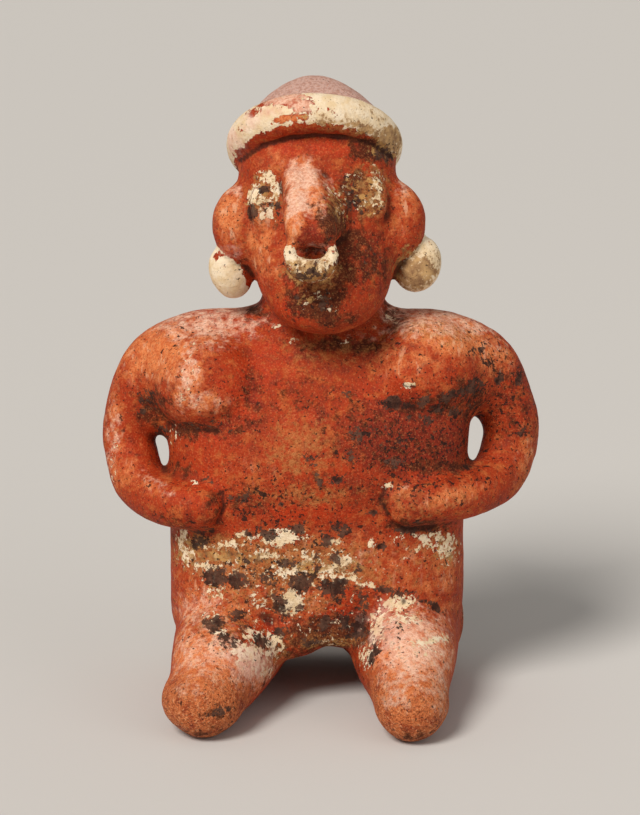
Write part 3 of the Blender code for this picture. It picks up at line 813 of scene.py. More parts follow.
# Pale pink bloom: dust, and painted highlights and sheen where the light falls.
BLOOM_AND_HIGHLIGHT_MARKS = (
    # painted highlights on the nose, shoulders and forearms, with dust
    (302, 176, 16, 15, 1), (296, 198, 12, 22, 0.9), (310, 204, 8, 12, 0.5), (210, 326, 50, 12, 0.66),
    (430, 318, 50, 8, 0.42, 10), (188, 372, 12, 34, 0.55, 6), (200, 400, 26, 10, 0.32),
    (156, 484, 22, 6, 0.34, 30), (405, 487, 14, 4, 0.4), (112, 440, 7, 50, 0.3),
    (490, 342, 22, 10, 0.3, 30),
    # knees and thighs: dust, and painted highlights on their tops
    (205, 650, 40, 30, 0.5), (250, 668, 20, 22, 0.6, 30), (415, 650, 36, 40, 0.78),
    (440, 690, 10, 30, 0.45), (190, 690, 16, 8, 0.4), (396, 690, 16, 22, 0.5), (200, 610, 26, 20, 0.45),
    (360, 560, 16, 14, 0.2),
)

BRIGHT_SLIP_MARKS = (
    (258, 280, 16, 18, 0.6, -20), (290, 150, 36, 9, 0.6), (330, 148, 36, 9, 0.6),
    (240, 400, 26, 34, 0.7), (265, 360, 40, 30, 0.5), (380, 390, 40, 24, 0.4), (300, 420, 40, 16, 0.4),
    (420, 460, 50, 24, 0.5), (305, 512, 70, 10, 0.7), (318, 600, 22, 20, 0.9), (270, 588, 16, 14, 0.6),
    (305, 570, 16, 8, 0.6), (270, 618, 22, 14, 0.9), (342, 605, 12, 16, 0.9), (250, 545, 16, 7, 0.8),
    (262, 662, 10, 10, 0.6), (395, 560, 26, 16, 0.4), (362, 275, 10, 14, 0.4), (400, 240, 8, 16, 0.6),
    (205, 440, 24, 14, 0.5), (290, 310, 24, 12, 0.7, 30),
)

# Deep maroon slip, and painted shade laid in as deep slip: under the nose tip, the chin, the headband's
# lower edge and both breasts, and the nose's shadow on the right cheek.
DEEP_SLIP_AND_SHADE_MARKS = (
    (312, 238, 18, 12, 0.9), (322, 226, 12, 14, 0.7), (302, 228, 8, 10, 0.4), (402, 436, 72, 42, 0.85),
    (446, 440, 40, 36, 0.8), (360, 444, 34, 34, 0.5), (345, 346, 56, 9, 0.8), (320, 134, 76, 5, 0.55),
    (250, 148, 20, 6, 0.5, -20), (372, 264, 26, 38, 0.6), (370, 150, 24, 12, 0.5),
    (296, 300, 10, 22, 0.4), (230, 430, 40, 14, 0.45), (250, 392, 18, 34, 0.45),
    (205, 516, 30, 8, 0.45), (360, 486, 30, 26, 0.45), (250, 505, 22, 14, 0.4),
    (520, 400, 20, 50, 0.45), (330, 610, 40, 16, 0.4), (420, 522, 34, 6, 0.4), (404, 250, 12, 14, 0.3),
)

# Pink tint and tan dirt over the cream paint.
ROSY_MARKS = (
    (226, 140, 16, 18, 0.85), (250, 122, 16, 10, 0.62, -20), (272, 112, 14, 7, 0.5),
    (232, 252, 13, 8, 0.36), (250, 660, 30, 18, 0.6, 30), (385, 630, 24, 30, 0.5),
    (265, 216, 8, 8, 0.4), (311, 250, 26, 6, 0.3),
)
TAN_MARKS = (
    # headband
    (330, 122, 26, 4, 0.7, 6), (365, 129, 22, 6, 0.8, 20), (388, 140, 15, 16, 1, 40),
    (398, 138, 8, 18, 0.85), (395, 153, 8, 7, 0.75), (300, 117, 12, 3, 0.5), (372, 112, 18, 9, 0.3, 30),
    # ornaments and ring
    (414, 273, 23, 20, 1, -20), (426, 270, 16, 16, 0.9), (408, 258, 8, 14, 0.8),
    (311, 269, 30, 14, 0.72), (311, 276, 22, 5, 0.8),
    # eyes and mouth
    (262, 196, 15, 24, 0.38), (368, 192, 20, 26, 0.5), (314, 298, 24, 8, 0.24),
    # this mark on the right flank of the nose also lightens its shaded side as painted light
    (337, 204, 10, 20, 0.46, -12),
    # skirt
    (235, 557, 62, 8, 0.62, 6), (325, 566, 50, 9, 0.55), (190, 550, 16, 18, 0.6),
    (446, 552, 12, 16, 0.5), (325, 642, 44, 7, 0.45), (225, 590, 26, 8, 0.4),
)

# Places on the headband where the cream paint is gone.
BARE_MARKS = (
    (284, 99, 24, 7, 1), (300, 106, 14, 7, 1, 10), (254, 112, 10, 5, 0.8, -25),
    (291, 119, 18, 5, 1, -8), (240, 130, 4, 4, 0.55), (236, 152, 5, 4, 0.6), (218, 256, 6, 4, 1, -20),
    (266, 102, 12, 4, 0.9, -20), (330, 112, 8, 3, 0.45),
)

# Places with more specks, and places with fewer.
DENSE_SPECK_MARKS = (
    (265, 500, 80, 30, 1), (420, 440, 80, 70, 1), (500, 390, 40, 60, 1),
)
CLEAN_MARKS = (
    (300, 160, 60, 40, 1), (320, 360, 50, 30, 1), (310, 190, 20, 26, 1),
)

# Strokes in the surface: points and half width in the photograph's pixels, depth in millimetres.
STROKES = (
    (((241, 160), (262, 146), (290, 138), (316, 135), (345, 137), (370, 143), (390, 156)), 2.4, 0.8),
    (((391, 522), (405, 530), (432, 528)), 2.6, 0.8),
    (((385, 489), (380, 500), (388, 517)), 2.2, 0.7),
    (((388, 500), (400, 502), (410, 500)), 1.8, 0.35),
    (((396, 514), (410, 513), (424, 516)), 2, 0.45),
    (((222, 493), (224, 508), (217, 522)), 2.6, 0.8),
    (((303, 299), (318, 302), (333, 299)), 2.4, 0.7),
    (((404, 386), (414, 387)), 1.4, 0.8),
    (((299, 262), (302, 278)), 1.6, 0.7),
    (((318, 260), (316, 278)), 1.6, 0.6),
    (((326, 258), (329, 270)), 1.6, 0.6),
    (((170, 424), (190, 430), (215, 431)), 4, 0.5),
    (((244, 176), (240, 205), (246, 238)), 5, 0.5),
    (((386, 176), (391, 205), (385, 238)), 5, 0.5),
    (((395, 404), (430, 412), (470, 398)), 5, 0.5),
)

# Dents: x, y and radius in the photograph's pixels, depth in millimetres, which is negative for a bump.
DENTS = (
    (379, 547, 3.4, 1.5), (374, 544, 3.4, -0.5), (435, 607, 4.5, 0.6), (393, 407, 5, 0.4),
    (243, 499, 3, 0.5), (498, 381, 3.4, 0.6), (337, 480, 3, 0.5), (410, 383, 4, -0.7),
    (272, 327, 3.5, -0.5), (345, 340, 3.2, -0.5),
    (196, 484, 3, -0.5), (373, 512, 3.5, 0.5), (481, 351, 2.6, 0.5), (251, 211, 4, 0.4),
)

# Relief: grain of the lumps, the dabs and the pits in millimetres, the share of cells without a pit,
# and a pit's reach as a share of its cell.
RELIEF_INPUTS = (
    "Lump height", "Lump size", "Dab height", "Dab size", "Pit depth", "Pit size", "Seed",
)
RELIEF_SEED = 3.0
LUMP_SIZE = 17.0
DAB_SIZE = 5.0
DAB_SHARE = 0.5
PIT_SIZE = 4.2
PIT_FREE = 0.72
PIT_RIM = 0.42

# Random fields that the edges of the paint follow: grain in millimetres, and seed. The shifts say how
# far the coarse and the fine one move a mark, across and down, in the photograph's pixels.
BLOTCH, COARSE, FINE = (15.0, 3.0), (6.0, 1.0), (2.2, 2.0)
COARSE_SHIFT, FINE_SHIFT = (5.0, 4.0), (3.0, 2.5)
# The painted skirt: its top edge and the softness of it, in millimetres.
SKIRT_TOP = 76.0
SKIRT_SOFT = 5.0


def scored(co, normals):
    """Positions after the strokes and dents are pressed into the clay."""
    px, py, facing = seen_from_camera(co, normals)
    sink = np.zeros(len(co))
    place = np.stack([px, py], axis=1)
    for points, half_wide, depth in STROKES:
        nearest = np.full(len(co), np.inf)
        for start, end in zip(points, points[1:]):
            start, along = np.array(start, float), np.subtract(end, start).astype(float)
            share = np.clip((place - start) @ along / (along @ along), 0.0, 1.0)
            off = np.linalg.norm(place - start - share[:, None] * along, axis=1)
            nearest = np.minimum(nearest, off)
        sink += depth * np.exp(-((nearest / half_wide) ** 2))
    for x, y, radius, depth in DENTS:
        sink += depth * np.exp(-(((px - x) ** 2 + (py - y) ** 2) / radius**2))
    return co - normals * (sink * facing)[:, None]


def add_node(tree, kind, links=None, **settings):
    """Adds a node, sets its properties, and sets or links its inputs by name or index."""
    node = tree.nodes.new(kind)
    for key, value in settings.items():
        setattr(node, key, value)
    for key, value in (links or {}).items():
        if isinstance(value, bpy.types.NodeSocket):
            tree.links.new(value, node.inputs[key])
        else:
            node.inputs[key].default_value = value
    return node


def maths(tree, operation, *values):
    """A sum over values or sockets."""
    return add_node(tree, "ShaderNodeMath", dict(enumerate(values)), operation=operation).outputs[0]


def relief_tree(material):
    """Geometry nodes: unevenness of the hand-smoothed clay, and the pits of its weathered skin."""
    tree = bpy.data.node_groups.new("clay relief", "GeometryNodeTree")
    face = tree.interface
    face.new_socket("Geometry", in_out="INPUT", socket_type="NodeSocketGeometry")
    for name in RELIEF_INPUTS:
        face.new_socket(name, in_out="INPUT", socket_type="NodeSocketFloat")
    face.new_socket("Geometry", in_out="OUTPUT", socket_type="NodeSocketGeometry")
    given = tree.nodes.new("NodeGroupInput").outputs
    field = {
        "Vector": add_node(tree, "GeometryNodeInputPosition").outputs[0], "W": given["Seed"],
    }
    normal = add_node(tree, "GeometryNodeInputNormal").outputs[0]

    height = 0.0
    for name, detail in (("Lump", 1.0), ("Dab", 2.0)):
        scale = maths(tree, "DIVIDE", 1.0, given[name + " size"])
        uneven = add_node(
            tree, "ShaderNodeTexNoise", {**field, "Scale": scale, "Detail": detail},
            noise_dimensions="4D",
        ).outputs[0]
        height = maths(
            tree, "MULTIPLY_ADD", maths(tree, "ADD", uneven, -0.5), given[name + " height"], height
        )

    scale = maths(tree, "DIVIDE", 1.0, given["Pit size"])
    cells = add_node(tree, "ShaderNodeTexVoronoi", {**field, "Scale": scale}, voronoi_dimensions="4D")
    chosen = add_node(tree, "ShaderNodeSeparateXYZ", {0: cells.outputs["Color"]}).outputs[0]
    bowl = add_node(
        tree, "ShaderNodeMapRange",
        {"Value": cells.outputs["Distance"], 1: 0.0, 2: PIT_RIM, 3: 1.0, 4: 0.0},
        interpolation_type="SMOOTHSTEP",
    ).outputs[0]
    pit = maths(tree, "MULTIPLY", maths(tree, "GREATER_THAN", chosen, PIT_FREE), bowl)
    height = maths(tree, "SUBTRACT", height, maths(tree, "MULTIPLY", pit, given["Pit depth"]))
    result = given["Geometry"]
    offset = add_node(
        tree, "ShaderNodeVectorMath", {0: normal, "Scale": height}, operation="SCALE"
    ).outputs[0]
    for kind, inputs in (
        ("GeometryNodeSetPosition", {"Offset": offset}),
        ("GeometryNodeRealizeInstances", {}),
        ("GeometryNodeSetMaterial", {"Material": material}),
    ):
        result = add_node(tree, kind, {"Geometry": result, **inputs}).outputs[0]
    add_node(tree, "NodeGroupOutput", {"Geometry": result})
    return tree


def with_relief(mesh, material, sizes):
    """The mesh after the clay relief is baked into it, in metres."""
    holder = bpy.data.objects.new("relief", mesh)
    bpy.context.scene.collection.objects.link(holder)
    tree = relief_tree(material)
    nodes = holder.modifiers.new("clay relief", "NODES")
    nodes.node_group = tree
    heights = (sizes.lump_height, LUMP_SIZE * MM, sizes.lump_height * DAB_SHARE, DAB_SIZE * MM)
    chosen = dict(zip(RELIEF_INPUTS, (*heights, sizes.pit_depth, PIT_SIZE * MM, RELIEF_SEED)))
    for item in tree.interface.items_tree:
        if item.in_out == "INPUT" and item.name in chosen:
            nodes[item.identifier] = chosen[item.name]
    graph = bpy.context.evaluated_depsgraph_get()
    baked = bpy.data.meshes.new_from_object(holder.evaluated_get(graph))
    bpy.data.objects.remove(holder)
    bpy.data.node_groups.remove(tree)
    return baked


def fitted(co):
    """Positions in metres with the underside flat on the floor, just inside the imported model's box."""
    co = co * MM
    co[:, 2] = np.maximum(co[:, 2], 0.0)
    low, high = np.array(CAD_BOX[0]), np.array(CAD_BOX[1])
    middle = (co.min(axis=0) + co.max(axis=0)) / 2
    middle[2] = 0.0
    size = co.max(axis=0) - co.min(axis=0)
    share = (high - low) / size
    return (co - middle) * share + np.array([(low[0] + high[0]) / 2, (low[1] + high[1]) / 2, 0.0])


def oval_reach(co, centre, radii, turn):
    """Distance from the middle of a turned oval lump, 1 on its skin."""
    back = turned(Matrix.Identity(4), turn).to_3x3()
    local = (co - np.array(centre)) @ np.array(back)
    return np.linalg.norm(local / np.array(radii), axis=1)


def near_line(co, line, share):
    """1 on the skin of a roll of clay given by its places and radii, 0 away from it."""
    rows = through(line)
    nearest = np.full(len(co), np.inf)
    for row in rows:
        nearest = np.minimum(nearest, np.linalg.norm(co - row[:3], axis=1) / row[3])
    return step(share + 0.18, share, nearest)


def paint_coverage(mesh, co, sizes):
    """Writes the coverage of each paint, wear and deposit, and of the painted shade and highlights, as
    an attribute of the mesh.
    """
    noise.seed_set(sizes.paint_seed)
    normals = vertex_normals(mesh)
    px, py, facing = seen_from_camera(co, normals)
    blotch, coarse, fine = wander(co, *BLOTCH), wander(co, *COARSE), wander(co, *FINE)
    px = px + COARSE_SHIFT[0] * coarse[:, 0] + FINE_SHIFT[0] * fine[:, 0]
    py = py + COARSE_SHIFT[1] * coarse[:, 1] + FINE_SHIFT[1] * fine[:, 1]
    x, y, z = co.T
    up = normals[:, 2]
    smooth = softened(mesh, co, 10)
    hollow = ((smooth - co) * normals).sum(axis=1)

    def marked(marks):
        """Coverage of a list of marks."""
        return marks_on(px, py, facing, marks)

    band_up = np.array([0.0, math.sin(BAND_TILT), math.cos(BAND_TILT)])
    from_band = co - np.array(BAND_CENTRE)
    middle = (sizes.band_across - sizes.band_roll) / MM / 2
    from_band[:, 2] += BAND_DROOP * np.minimum((x - BAND_CENTRE[0]) / middle, 1.2) ** 2
    lift = from_band @ band_up
    ring_radius = np.linalg.norm(from_band - lift[:, None] * band_up, axis=1)
    roll = sizes.band_roll / MM / 2
    on_band = step(1.24, 1.1, np.hypot(ring_radius - middle, lift / BAND_SQUASH) / roll)
    lift = lift + 0.9 * fine[:, 2]
    band_cream = on_band * step(-0.92 * roll, -0.7 * roll, lift)
    band_cream = band_cream * (1 - 0.7 * step(-10.0, 10.0, y) * step(0.12, 0.3, blotch[:, 1]))
    # The lower half of the headband, from its middle rightwards, is toned tan.
    band_low_tan = band_cream * step(0.1 * roll, -0.6 * roll, lift) * step(-30.0, 45.0, x)

    # The paint of the ornaments ends at a slanting line beside the jaw.
    left = step(-28.2, -30.2, x + 0.3 * (z - 170.0)) * step(1.22, 1.02, oval_reach(co, *LEFT_ORNAMENT))
    right = step(29.5, 34.5, x - 0.2 * (z - 172.0)) * step(1.22, 1.04, oval_reach(co, *RIGHT_ORNAMENT))
    ring = near_line(co, ring_line(sizes)[1:-1], 1.08)
    skirt = step(SKIRT_TOP, SKIRT_TOP - SKIRT_SOFT, z + 1.5 * fine[:, 2] + 3.0 * coarse[:, 2])
    away = step(-6.0, 8.0, y) * step(0.9, 0.5, up)
    worn_skirt = skirt * away * step(4.0, 26.0, z)
    solid = most(band_cream, left, right)
    # dome: a pale lilac tone over the top of the head, partly painted sheen
    dome = step(middle + 3.0, middle - 1.0, ring_radius) * step(-2.0, 2.0, lift) * (1 - on_band)
    # Painted sheen and dust: lighter on the upward tops of the shoulders and over the dome.
    dust_and_sheen = most(
        step(0.5, 0.95, up) * step(140.0, 150.0, z) * 0.55, marked(BLOOM_AND_HIGHLIGHT_MARKS), dome * 0.5
    )
    specks = 0.34 + 0.4 * marked(DENSE_SPECK_MARKS) - 0.25 * marked(CLEAN_MARKS)

    covers = {
        "bright": marked(BRIGHT_SLIP_MARKS),
        # deep: darker maroon slip, much of it painted shade
        "deep": marked(DEEP_SLIP_AND_SHADE_MARKS),
        # pale: rubbed slip and painted highlight, also laid a little lighter on every ridge
        "pale": most(marked(PALE_WEAR_AND_HIGHLIGHT_MARKS), step(0.1, 0.5, -hollow) * 0.3),
        "bloom_and_highlight": most(dust_and_sheen * (1 - on_band), marked(BARE_MARKS[:2]) * 0.9),
        "dome": dome,
        # soil: brown soil, and the painted shade of the soil marks
        "soil": most(marked(SOIL_AND_SHADE_MARKS), away * (0.34 + 0.5 * blotch[:, 2])) * (1 - 0.55 * solid),
        "ochre": most(marked(OCHRE_MARKS), skirt * away * 0.5),
        "cream": most(
            marked(CREAM_MARKS), solid * (1 - marked(BARE_MARKS)),
            # the ring's cream thins on its lower side, which is darker there: worn paint and painted
            # shade
            ring * (0.3 + 0.46 * step(-0.25, 0.35, up)), worn_skirt * (0.26 + 0.9 * blotch[:, 0]),
        ),
        "dark": most(marked(DARK_MARKS), worn_skirt * (0.2 + 0.9 * blotch[:, 1])),
        "rosy": marked(ROSY_MARKS),
        "tan": most(
            marked(TAN_MARKS), band_low_tan * 0.4, solid * away * (0.3 + 0.5 * blotch[:, 0])
        ),
        "specks": specks - 0.12 * solid - 0.2 * dome,
        # hollow: how deep a place lies in a hollow, for its painted shade
        "hollow": step(0.06, 0.42, hollow),
        "foot": step(34.0, 18.0, z) * step(-50.0, -72.0, y),
    }
    for name, values in covers.items():
        layer = mesh.attributes.new(name, "FLOAT", "POINT")
        layer.data.foreach_set("value", np.clip(values, 0.0, 1.0).astype(np.float32))


# Coverings in the order in which they lie on the slip: attribute, grain in mm, spread, softness of the
# edge, most cover, two sRGB colours, thickness in mm, surface roughness.
STAINS = (
    ("bright", 5.0, 0.7, 0.22, 0.85, "#C23A0A", "#A02808", 0.0, 0.55),
    # deep: darker maroon slip, much of it painted shade under things and in hollows
    ("deep", 4.4, 0.8, 0.3, 0.85, "#8A260F", "#651809", 0.0, 0.6),
    # pale: orange rubbed slip, and painted highlights
    ("pale", 4.0, 0.8, 0.42, 0.85, "#EE945C", "#CC6A36", 0.0, 0.72),
    # bloom: pale pink dust, and painted highlights
    ("bloom_and_highlight", 3.6, 0.9, 0.36, 0.9, "#F5CDB4", "#D69E84", 0.0, 0.84),
    # dome: pale lilac over the top of the head, partly painted sheen
    ("dome", 4.2, 0.6, 0.4, 0.95, "#CFADA2", "#AE8578", 0.0, 0.86),
    # soil: brown soil, with painted shade in it
    ("soil", 3.2, 1.0, 0.26, 0.9, "#582A13", "#341408", 0.0, 0.88),
    ("ochre", 3.0, 1.0, 0.32, 0.75, "#BE7E48", "#91562A", 0.02, 0.86),
)
PAINTS = (
    ("cream", 2.0, 1.1, 0.06, 1.0, "#F0DEC2", "#E0C59C", 0.08, 0.84),
    ("rosy", 4.6, 0.8, 0.4, 0.7, "#EBC6B4", "#D79F8C", 0.0, 0.84),
    ("tan", 2.4, 1.2, 0.2, 0.86, "#C4975A", "#7C5230", 0.0, 0.86),
    # dark: dark paint and soot, with painted shade in some creases and under the breasts
    ("dark", 1.8, 1.1, 0.07, 0.95, "#2B1A14", "#604234", 0.06, 0.8),
)

# Mineral specks and larger spots: size in mm, seed, and their threshold with its fall where they are
# dense. A spot ends softly, over SPOT_EDGE, and is a little sunk.
SPECKS = ((1.3, 31.0, 1.04, 0.42), (3.4, 32.0, 1.06, 0.3))
SPOT_EDGE = (-0.02, 0.05)
SPECK_COLOUR = "#2B1710"
# Most values of a noise texture lie in this span. A seed shifts the place at which it is read.
NOISE_SPAN = (0.31, 0.69)
SEED_SHIFT = (7.3, 3.1, 5.7)
FIRST_STAIN_SEED, FIRST_PAINT_SEED = 10.0, 20.0
CLAY_REFRACTION, CLAY_SHEEN = 1.5, 0.2
FLOOR_TOOTH, FLOOR_TOOTH_DEPTH = 900.0, 0.0001


def terracotta_material(colours):
    """Earthenware with a burnished red iron slip, centuries in the ground. The slip is vivid where it
    is whole and orange and grainy where it is rubbed, and it is covered in places by chalky cream
    paint with torn edges, dark paint, brown soil, ochre stains and black mineral specks."""
    # Painted shade is laid in among these coverings as deep slip, soil, dark paint and darkened hollows,
    # and painted highlights as pale slip, bloom and the dome's tone.
    material = bpy.data.materials.new("burnished red slip on terracotta")
    material.use_nodes = True
    tree = material.node_tree
    tree.nodes.clear()
    place = add_node(tree, "ShaderNodeTexCoord").outputs["Object"]

    def grain(millimetres, detail, rough, seed, stretch=(1.0, 1.0, 1.0)):
        """Noise of a real size, spread over 0 to 1."""
        scale = tuple(s / (millimetres * MM) for s in stretch)
        shifted = add_node(
            tree, "ShaderNodeVectorMath", {0: place, 1: scale, 2: [seed * s for s in SEED_SHIFT]},
            operation="MULTIPLY_ADD",
        ).outputs[0]
        field = add_node(
            tree, "ShaderNodeTexNoise",
            {"Vector": shifted, "Scale": 1.0, "Detail": detail, "Roughness": rough},
        ).outputs[0]
        span = {"Value": field, 1: NOISE_SPAN[0], 2: NOISE_SPAN[1]}
        return add_node(tree, "ShaderNodeMapRange", span).outputs[0]

    def between(field, low, high, start=0.0, end=1.0):
        """A smooth step of a field from start to end."""
        return add_node(
            tree, "ShaderNodeMapRange", {"Value": field, 1: low, 2: high, 3: start, 4: end},
            interpolation_type="SMOOTHSTEP",
        ).outputs[0]

    def attribute(name):
        """A coverage kept on the mesh."""
        return add_node(tree, "ShaderNodeAttribute", attribute_name=name).outputs["Fac"]

    def sums(operation, *values):
        """A sum in this material's tree."""
        return maths(tree, operation, *values)

    def laid(factor, under, over):
        """One colour over another, each a socket or linear red, green and blue."""
        pair = [c if isinstance(c, bpy.types.NodeSocket) else (*c, 1.0) for c in (under, over)]
        return add_node(
            tree, "ShaderNodeMix", {0: factor, 6: pair[0], 7: pair[1]}, data_type="RGBA"
        ).outputs[2]

    def toned(colour, rows):
        """Lays plain tones over a colour: how much of each, and its sRGB colour."""
        for factor, code in rows:
            colour = laid(factor, colour, linear(code))
        return colour

    def covered(colour, roughness, height, rows, tint, seed):
        """Lays the coverings of rows over what is there."""
        for name, size, spread, soft, most, light, deep, thick, matt in rows:
            seed += 1.0
            cover = attribute(name)
            torn = grain(size, 7.0, 0.68, seed)
            total = sums("MULTIPLY_ADD", torn, spread, sums("SUBTRACT", cover, spread / 2))
            limit = between(cover, 0.02, 0.16, 0.0, most)
            mask = sums("MULTIPLY", between(total, 0.5 - soft, 0.5 + soft), limit)
            colour = laid(mask, colour, laid(tint, linear(light), linear(deep)))
            roughness = add_node(
                tree, "ShaderNodeMix", {0: mask, 2: roughness, 3: matt}, data_type="FLOAT"
            ).outputs[0]
            height = sums("MULTIPLY_ADD", mask, thick, height)
        return colour, roughness, height

    cloud = grain(24.0, 4.0, 0.6, 1.0)
    mottle = grain(5.0, 5.0, 0.65, 2.0)
    fleck = grain(1.5, 4.0, 0.7, 3.0)
    grit = grain(0.7, 2.0, 0.6, 4.0)
    gravel = grain(1.1, 2.0, 0.7, 6.0)
    streak = grain(2.2, 4.0, 0.6, 5.0, (1.0, 0.4, 0.35))
    hollow, foot, pale = attribute("hollow"), attribute("foot"), attribute("pale")

    colour = laid(cloud, colours.slip_colour, linear("#98320F"))
    colour = laid(between(mottle, 0.5, 0.95, 0.0, 0.7), colour, colours.clay_colour)
    colour = toned(colour, ((between(mottle, 0.45, 0.05, 0.0, 0.6), "#74240C"),))
    colour = laid(sums("MULTIPLY", foot, between(mottle, 0.0, 0.55)), colour, colours.foot_colour)
    colour = toned(colour, (
        (sums("MULTIPLY", foot, between(gravel, 0.45, 0.1, 0.0, 0.8)), "#8E3E1C"),
        (sums("MULTIPLY", foot, between(gravel, 0.6, 0.95, 0.0, 0.7)), "#EFA878"),
    ))
    roughness = between(mottle, 0.2, 0.8, 0.58, 0.74)
    height = sums("MULTIPLY", grit, sums("MULTIPLY_ADD", foot, 0.2, 0.08))
    height = sums("MULTIPLY_ADD", fleck, sums("MULTIPLY_ADD", foot, 0.3, 0.18), height)
    height = sums("MULTIPLY_ADD", gravel, sums("MULTIPLY", foot, 0.6), height)
    tint = between(fleck, 0.2, 0.8)
    colour, roughness, height = covered(colour, roughness, height, STAINS, tint, FIRST_STAIN_SEED)

    # Grain of the clay: pale sand, dark pores and dust, and pale streaks over the pale coverage, which
    # is rubbed slip and painted highlight.
    smooth = sums("MAXIMUM", attribute("dome"), sums("MULTIPLY", attribute("bloom_and_highlight"), 0.72))
    clean = between(smooth, 0.2, 0.8, 1.0, 0.2)
    colour = toned(colour, (
        (between(grit, 0.6, 1.0, 0.0, 0.26), "#E0915C"),
        (sums("MULTIPLY", clean, between(fleck, 0.36, 0.0, 0.0, 0.55)), "#45170B"),
        (sums("MULTIPLY", clean, between(grit, 0.36, 0.0, 0.0, 0.4)), "#52200F"),
        (sums("MULTIPLY", between(pale, 0.1, 0.6), between(streak, 0.62, 1.0, 0.0, 0.38)), "#F3CBA6"),
    ))
    tint = between(mottle, 0.1, 0.9)
    colour, roughness, height = covered(colour, roughness, height, PAINTS, tint, FIRST_PAINT_SEED)
    # Brown flecks, and painted shade with soil darkening the hollows of the clay.
    colour = toned(colour, (
        (between(fleck, 0.3, 0.0, 0.0, 0.3), "#6B4528"),
        (between(hollow, 0.1, 1.0, 0.0, 0.8), "#2E1107"),
    ))

    # Black mineral specks and larger spots, torn at their edges and denser in some places.
    density = sums("MULTIPLY_ADD", cloud, 0.3, sums("ADD", attribute("specks"), -0.15))
    for size, seed, threshold, fall in SPECKS:
        spots = grain(size, 3.0, 0.6, seed)
        limit = sums("MULTIPLY_ADD", density, -fall, threshold)
        spot = between(sums("SUBTRACT", spots, limit), *SPOT_EDGE, 0.0, 0.9)
        colour = laid(spot, colour, linear(SPECK_COLOUR))
        height = sums("MULTIPLY_ADD", spot, -0.1, height)

    bump = add_node(tree, "ShaderNodeBump", {"Height": height, "Distance": MM, "Strength": 1.0})
    shader = add_node(
        tree, "ShaderNodeBsdfPrincipled",
        {"Base Color": colour, "Roughness": roughness, "Normal": bump.outputs[0],
         "IOR": CLAY_REFRACTION, "Specular IOR Level": CLAY_SHEEN, "Metallic": 0.0},
    )
    add_node(tree, "ShaderNodeOutputMaterial", {"Surface": shader.outputs[0]})
    return material


def floor_material(colour):
    """Matt emulsion on board, which gives a plain pale ground with a soft contact shadow."""
    material = bpy.data.materials.new("matt painted board")
    material.use_nodes = True
    tree = material.node_tree
    shader = tree.nodes["Principled BSDF"]
    place = add_node(tree, "ShaderNodeTexCoord").outputs["Object"]
    tooth = add_node(tree, "ShaderNodeTexNoise", {"Vector": place, "Scale": FLOOR_TOOTH, "Detail": 2.0})
    bump = add_node(
        tree, "ShaderNodeBump",
        {"Height": tooth.outputs[0], "Distance": FLOOR_TOOTH_DEPTH, "Strength": 0.2},
    )
    tree.links.new(bump.outputs[0], shader.inputs["Normal"])
    shader.inputs["Base Color"].default_value = (*colour, 1.0)
    shader.inputs["Roughness"].default_value = 0.85
    return material


class FIGURE_OT_add_woman(bpy.types.Operator):
    """Models the seated woman and lays on its paint, wear and soil, with painted shade and highlights"""

    bl_idname = "clay_figure.add_woman"
    bl_label = "Add Seated Woman"
    bl_options = {"REGISTER", "UNDO"}

    def execute(self, context):
        sizes = context.scene.clay_figure
        material = terracotta_material(sizes)
        mesh = modelled(sizes)
        put_positions(mesh, scored(positions(mesh), vertex_normals(mesh)) * MM)
        baked = with_relief(mesh, material, sizes)
        co = positions(baked) / MM
        paint_coverage(baked, co, sizes)
        put_positions(baked, fitted(co))
        baked.shade_smooth()
        if not baked.polygons:
            raise RuntimeError("the figure has no faces")
        figure = bpy.data.objects.new("clay_woman", baked)
        context.scene.collection.objects.link(figure)
        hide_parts(NODE)
        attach(figure, "root")
        return {"FINISHED"}


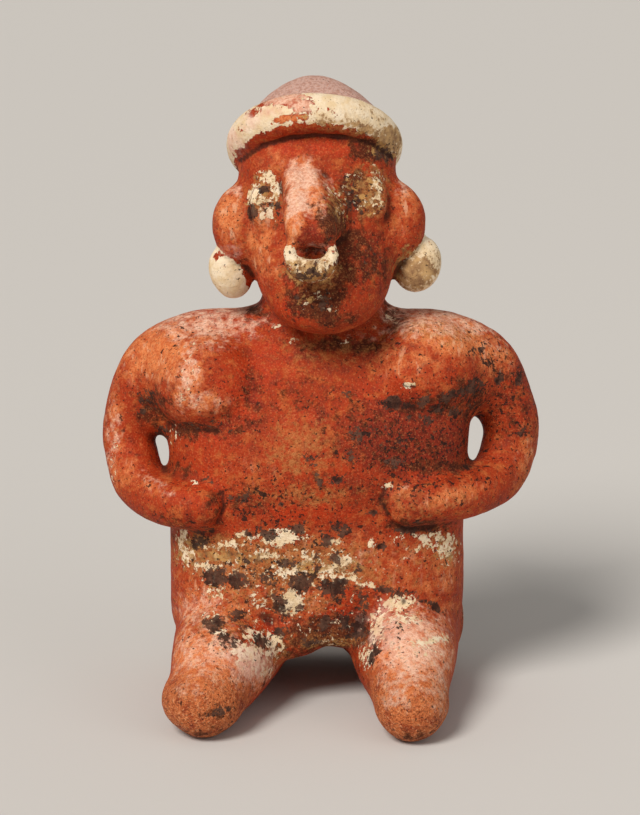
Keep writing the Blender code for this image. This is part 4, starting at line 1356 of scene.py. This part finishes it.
class FIGURE_OT_add_stage(bpy.types.Operator):
    """Adds the floor, the soft lights and the camera"""

    bl_idname = "clay_figure.add_stage"
    bl_label = "Add Stage"
    bl_options = {"REGISTER", "UNDO"}

    def execute(self, context):
        scene = context.scene
        stage = scene.clay_figure_stage
        bpy.ops.mesh.primitive_circle_add(
            vertices=96, radius=FLOOR_RADIUS, fill_type="NGON", location=(0, 0, 0)
        )
        floor = context.object
        floor.name = "studio_floor"
        floor.data.materials.append(floor_material(stage.floor_colour))

        world = bpy.data.worlds.new("studio air")
        world.use_nodes = True
        air = world.node_tree.nodes["Background"]
        air.inputs["Color"].default_value = (*linear(AIR_COLOUR), 1.0)
        air.inputs["Strength"].default_value = AIR_STRENGTH
        scene.world = world

        key = bpy.data.lights.new("key light", "SUN")
        key.energy = stage.key_strength
        key.angle = KEY_SOFTNESS
        key.color = linear(KEY_COLOUR)
        fill = bpy.data.lights.new("fill light", "AREA")
        fill.energy = stage.fill_power
        fill.size = FILL_SIZE
        for lamp, place in ((key, KEY_PLACE), (fill, FILL_PLACE)):
            holder = bpy.data.objects.new(lamp.name, lamp)
            holder.location = place
            holder.rotation_euler = (LIGHT_AIM - place).to_track_quat("-Z", "Y").to_euler()
            scene.collection.objects.link(holder)

        lens = bpy.data.cameras.new("camera")
        lens.sensor_fit = "AUTO"
        lens.sensor_width = SENSOR
        lens.lens = FOCAL_PIXELS / PHOTO_HIGH * SENSOR
        lens.clip_start = 0.01
        camera = bpy.data.objects.new("camera", lens)
        away = Vector((0.0, -math.cos(CAMERA_RAISED), math.sin(CAMERA_RAISED)))
        camera.location = FIGURE_ORIGIN + Vector((0, 0, CAMERA_TARGET_HEIGHT)) + away * CAMERA_AWAY
        camera.rotation_euler = (-away).to_track_quat("-Z", "Y").to_euler()
        scene.collection.objects.link(camera)
        scene.camera = camera
        scene.view_settings.view_transform = "Standard"
        return {"FINISHED"}


class FIGURE_PT_panel(bpy.types.Panel):
    """Lists what the add-on makes"""

    bl_idname = "FIGURE_PT_panel"
    bl_label = "Clay Figure"
    bl_space_type = "VIEW_3D"
    bl_region_type = "UI"
    bl_category = "Clay Figure"

    def draw(self, context):
        for settings in (context.scene.clay_figure, context.scene.clay_figure_stage):
            for name in settings.__annotations__:
                self.layout.prop(settings, name)
        self.layout.operator(FIGURE_OT_add_woman.bl_idname)
        self.layout.operator(FIGURE_OT_add_stage.bl_idname)


CLASSES = (
    ClayFigureSettings, StageSettings, FIGURE_OT_add_woman, FIGURE_OT_add_stage, FIGURE_PT_panel,
)


def register():
    for each in CLASSES:
        bpy.utils.register_class(each)
    bpy.types.Scene.clay_figure = bpy.props.PointerProperty(type=ClayFigureSettings)
    bpy.types.Scene.clay_figure_stage = bpy.props.PointerProperty(type=StageSettings)


def unregister():
    del bpy.types.Scene.clay_figure_stage
    del bpy.types.Scene.clay_figure
    for each in reversed(CLASSES):
        bpy.utils.unregister_class(each)


def main():
    register()
    bpy.ops.clay_figure.add_woman()
    bpy.ops.clay_figure.add_stage()


if __name__ == "__main__":
    main()
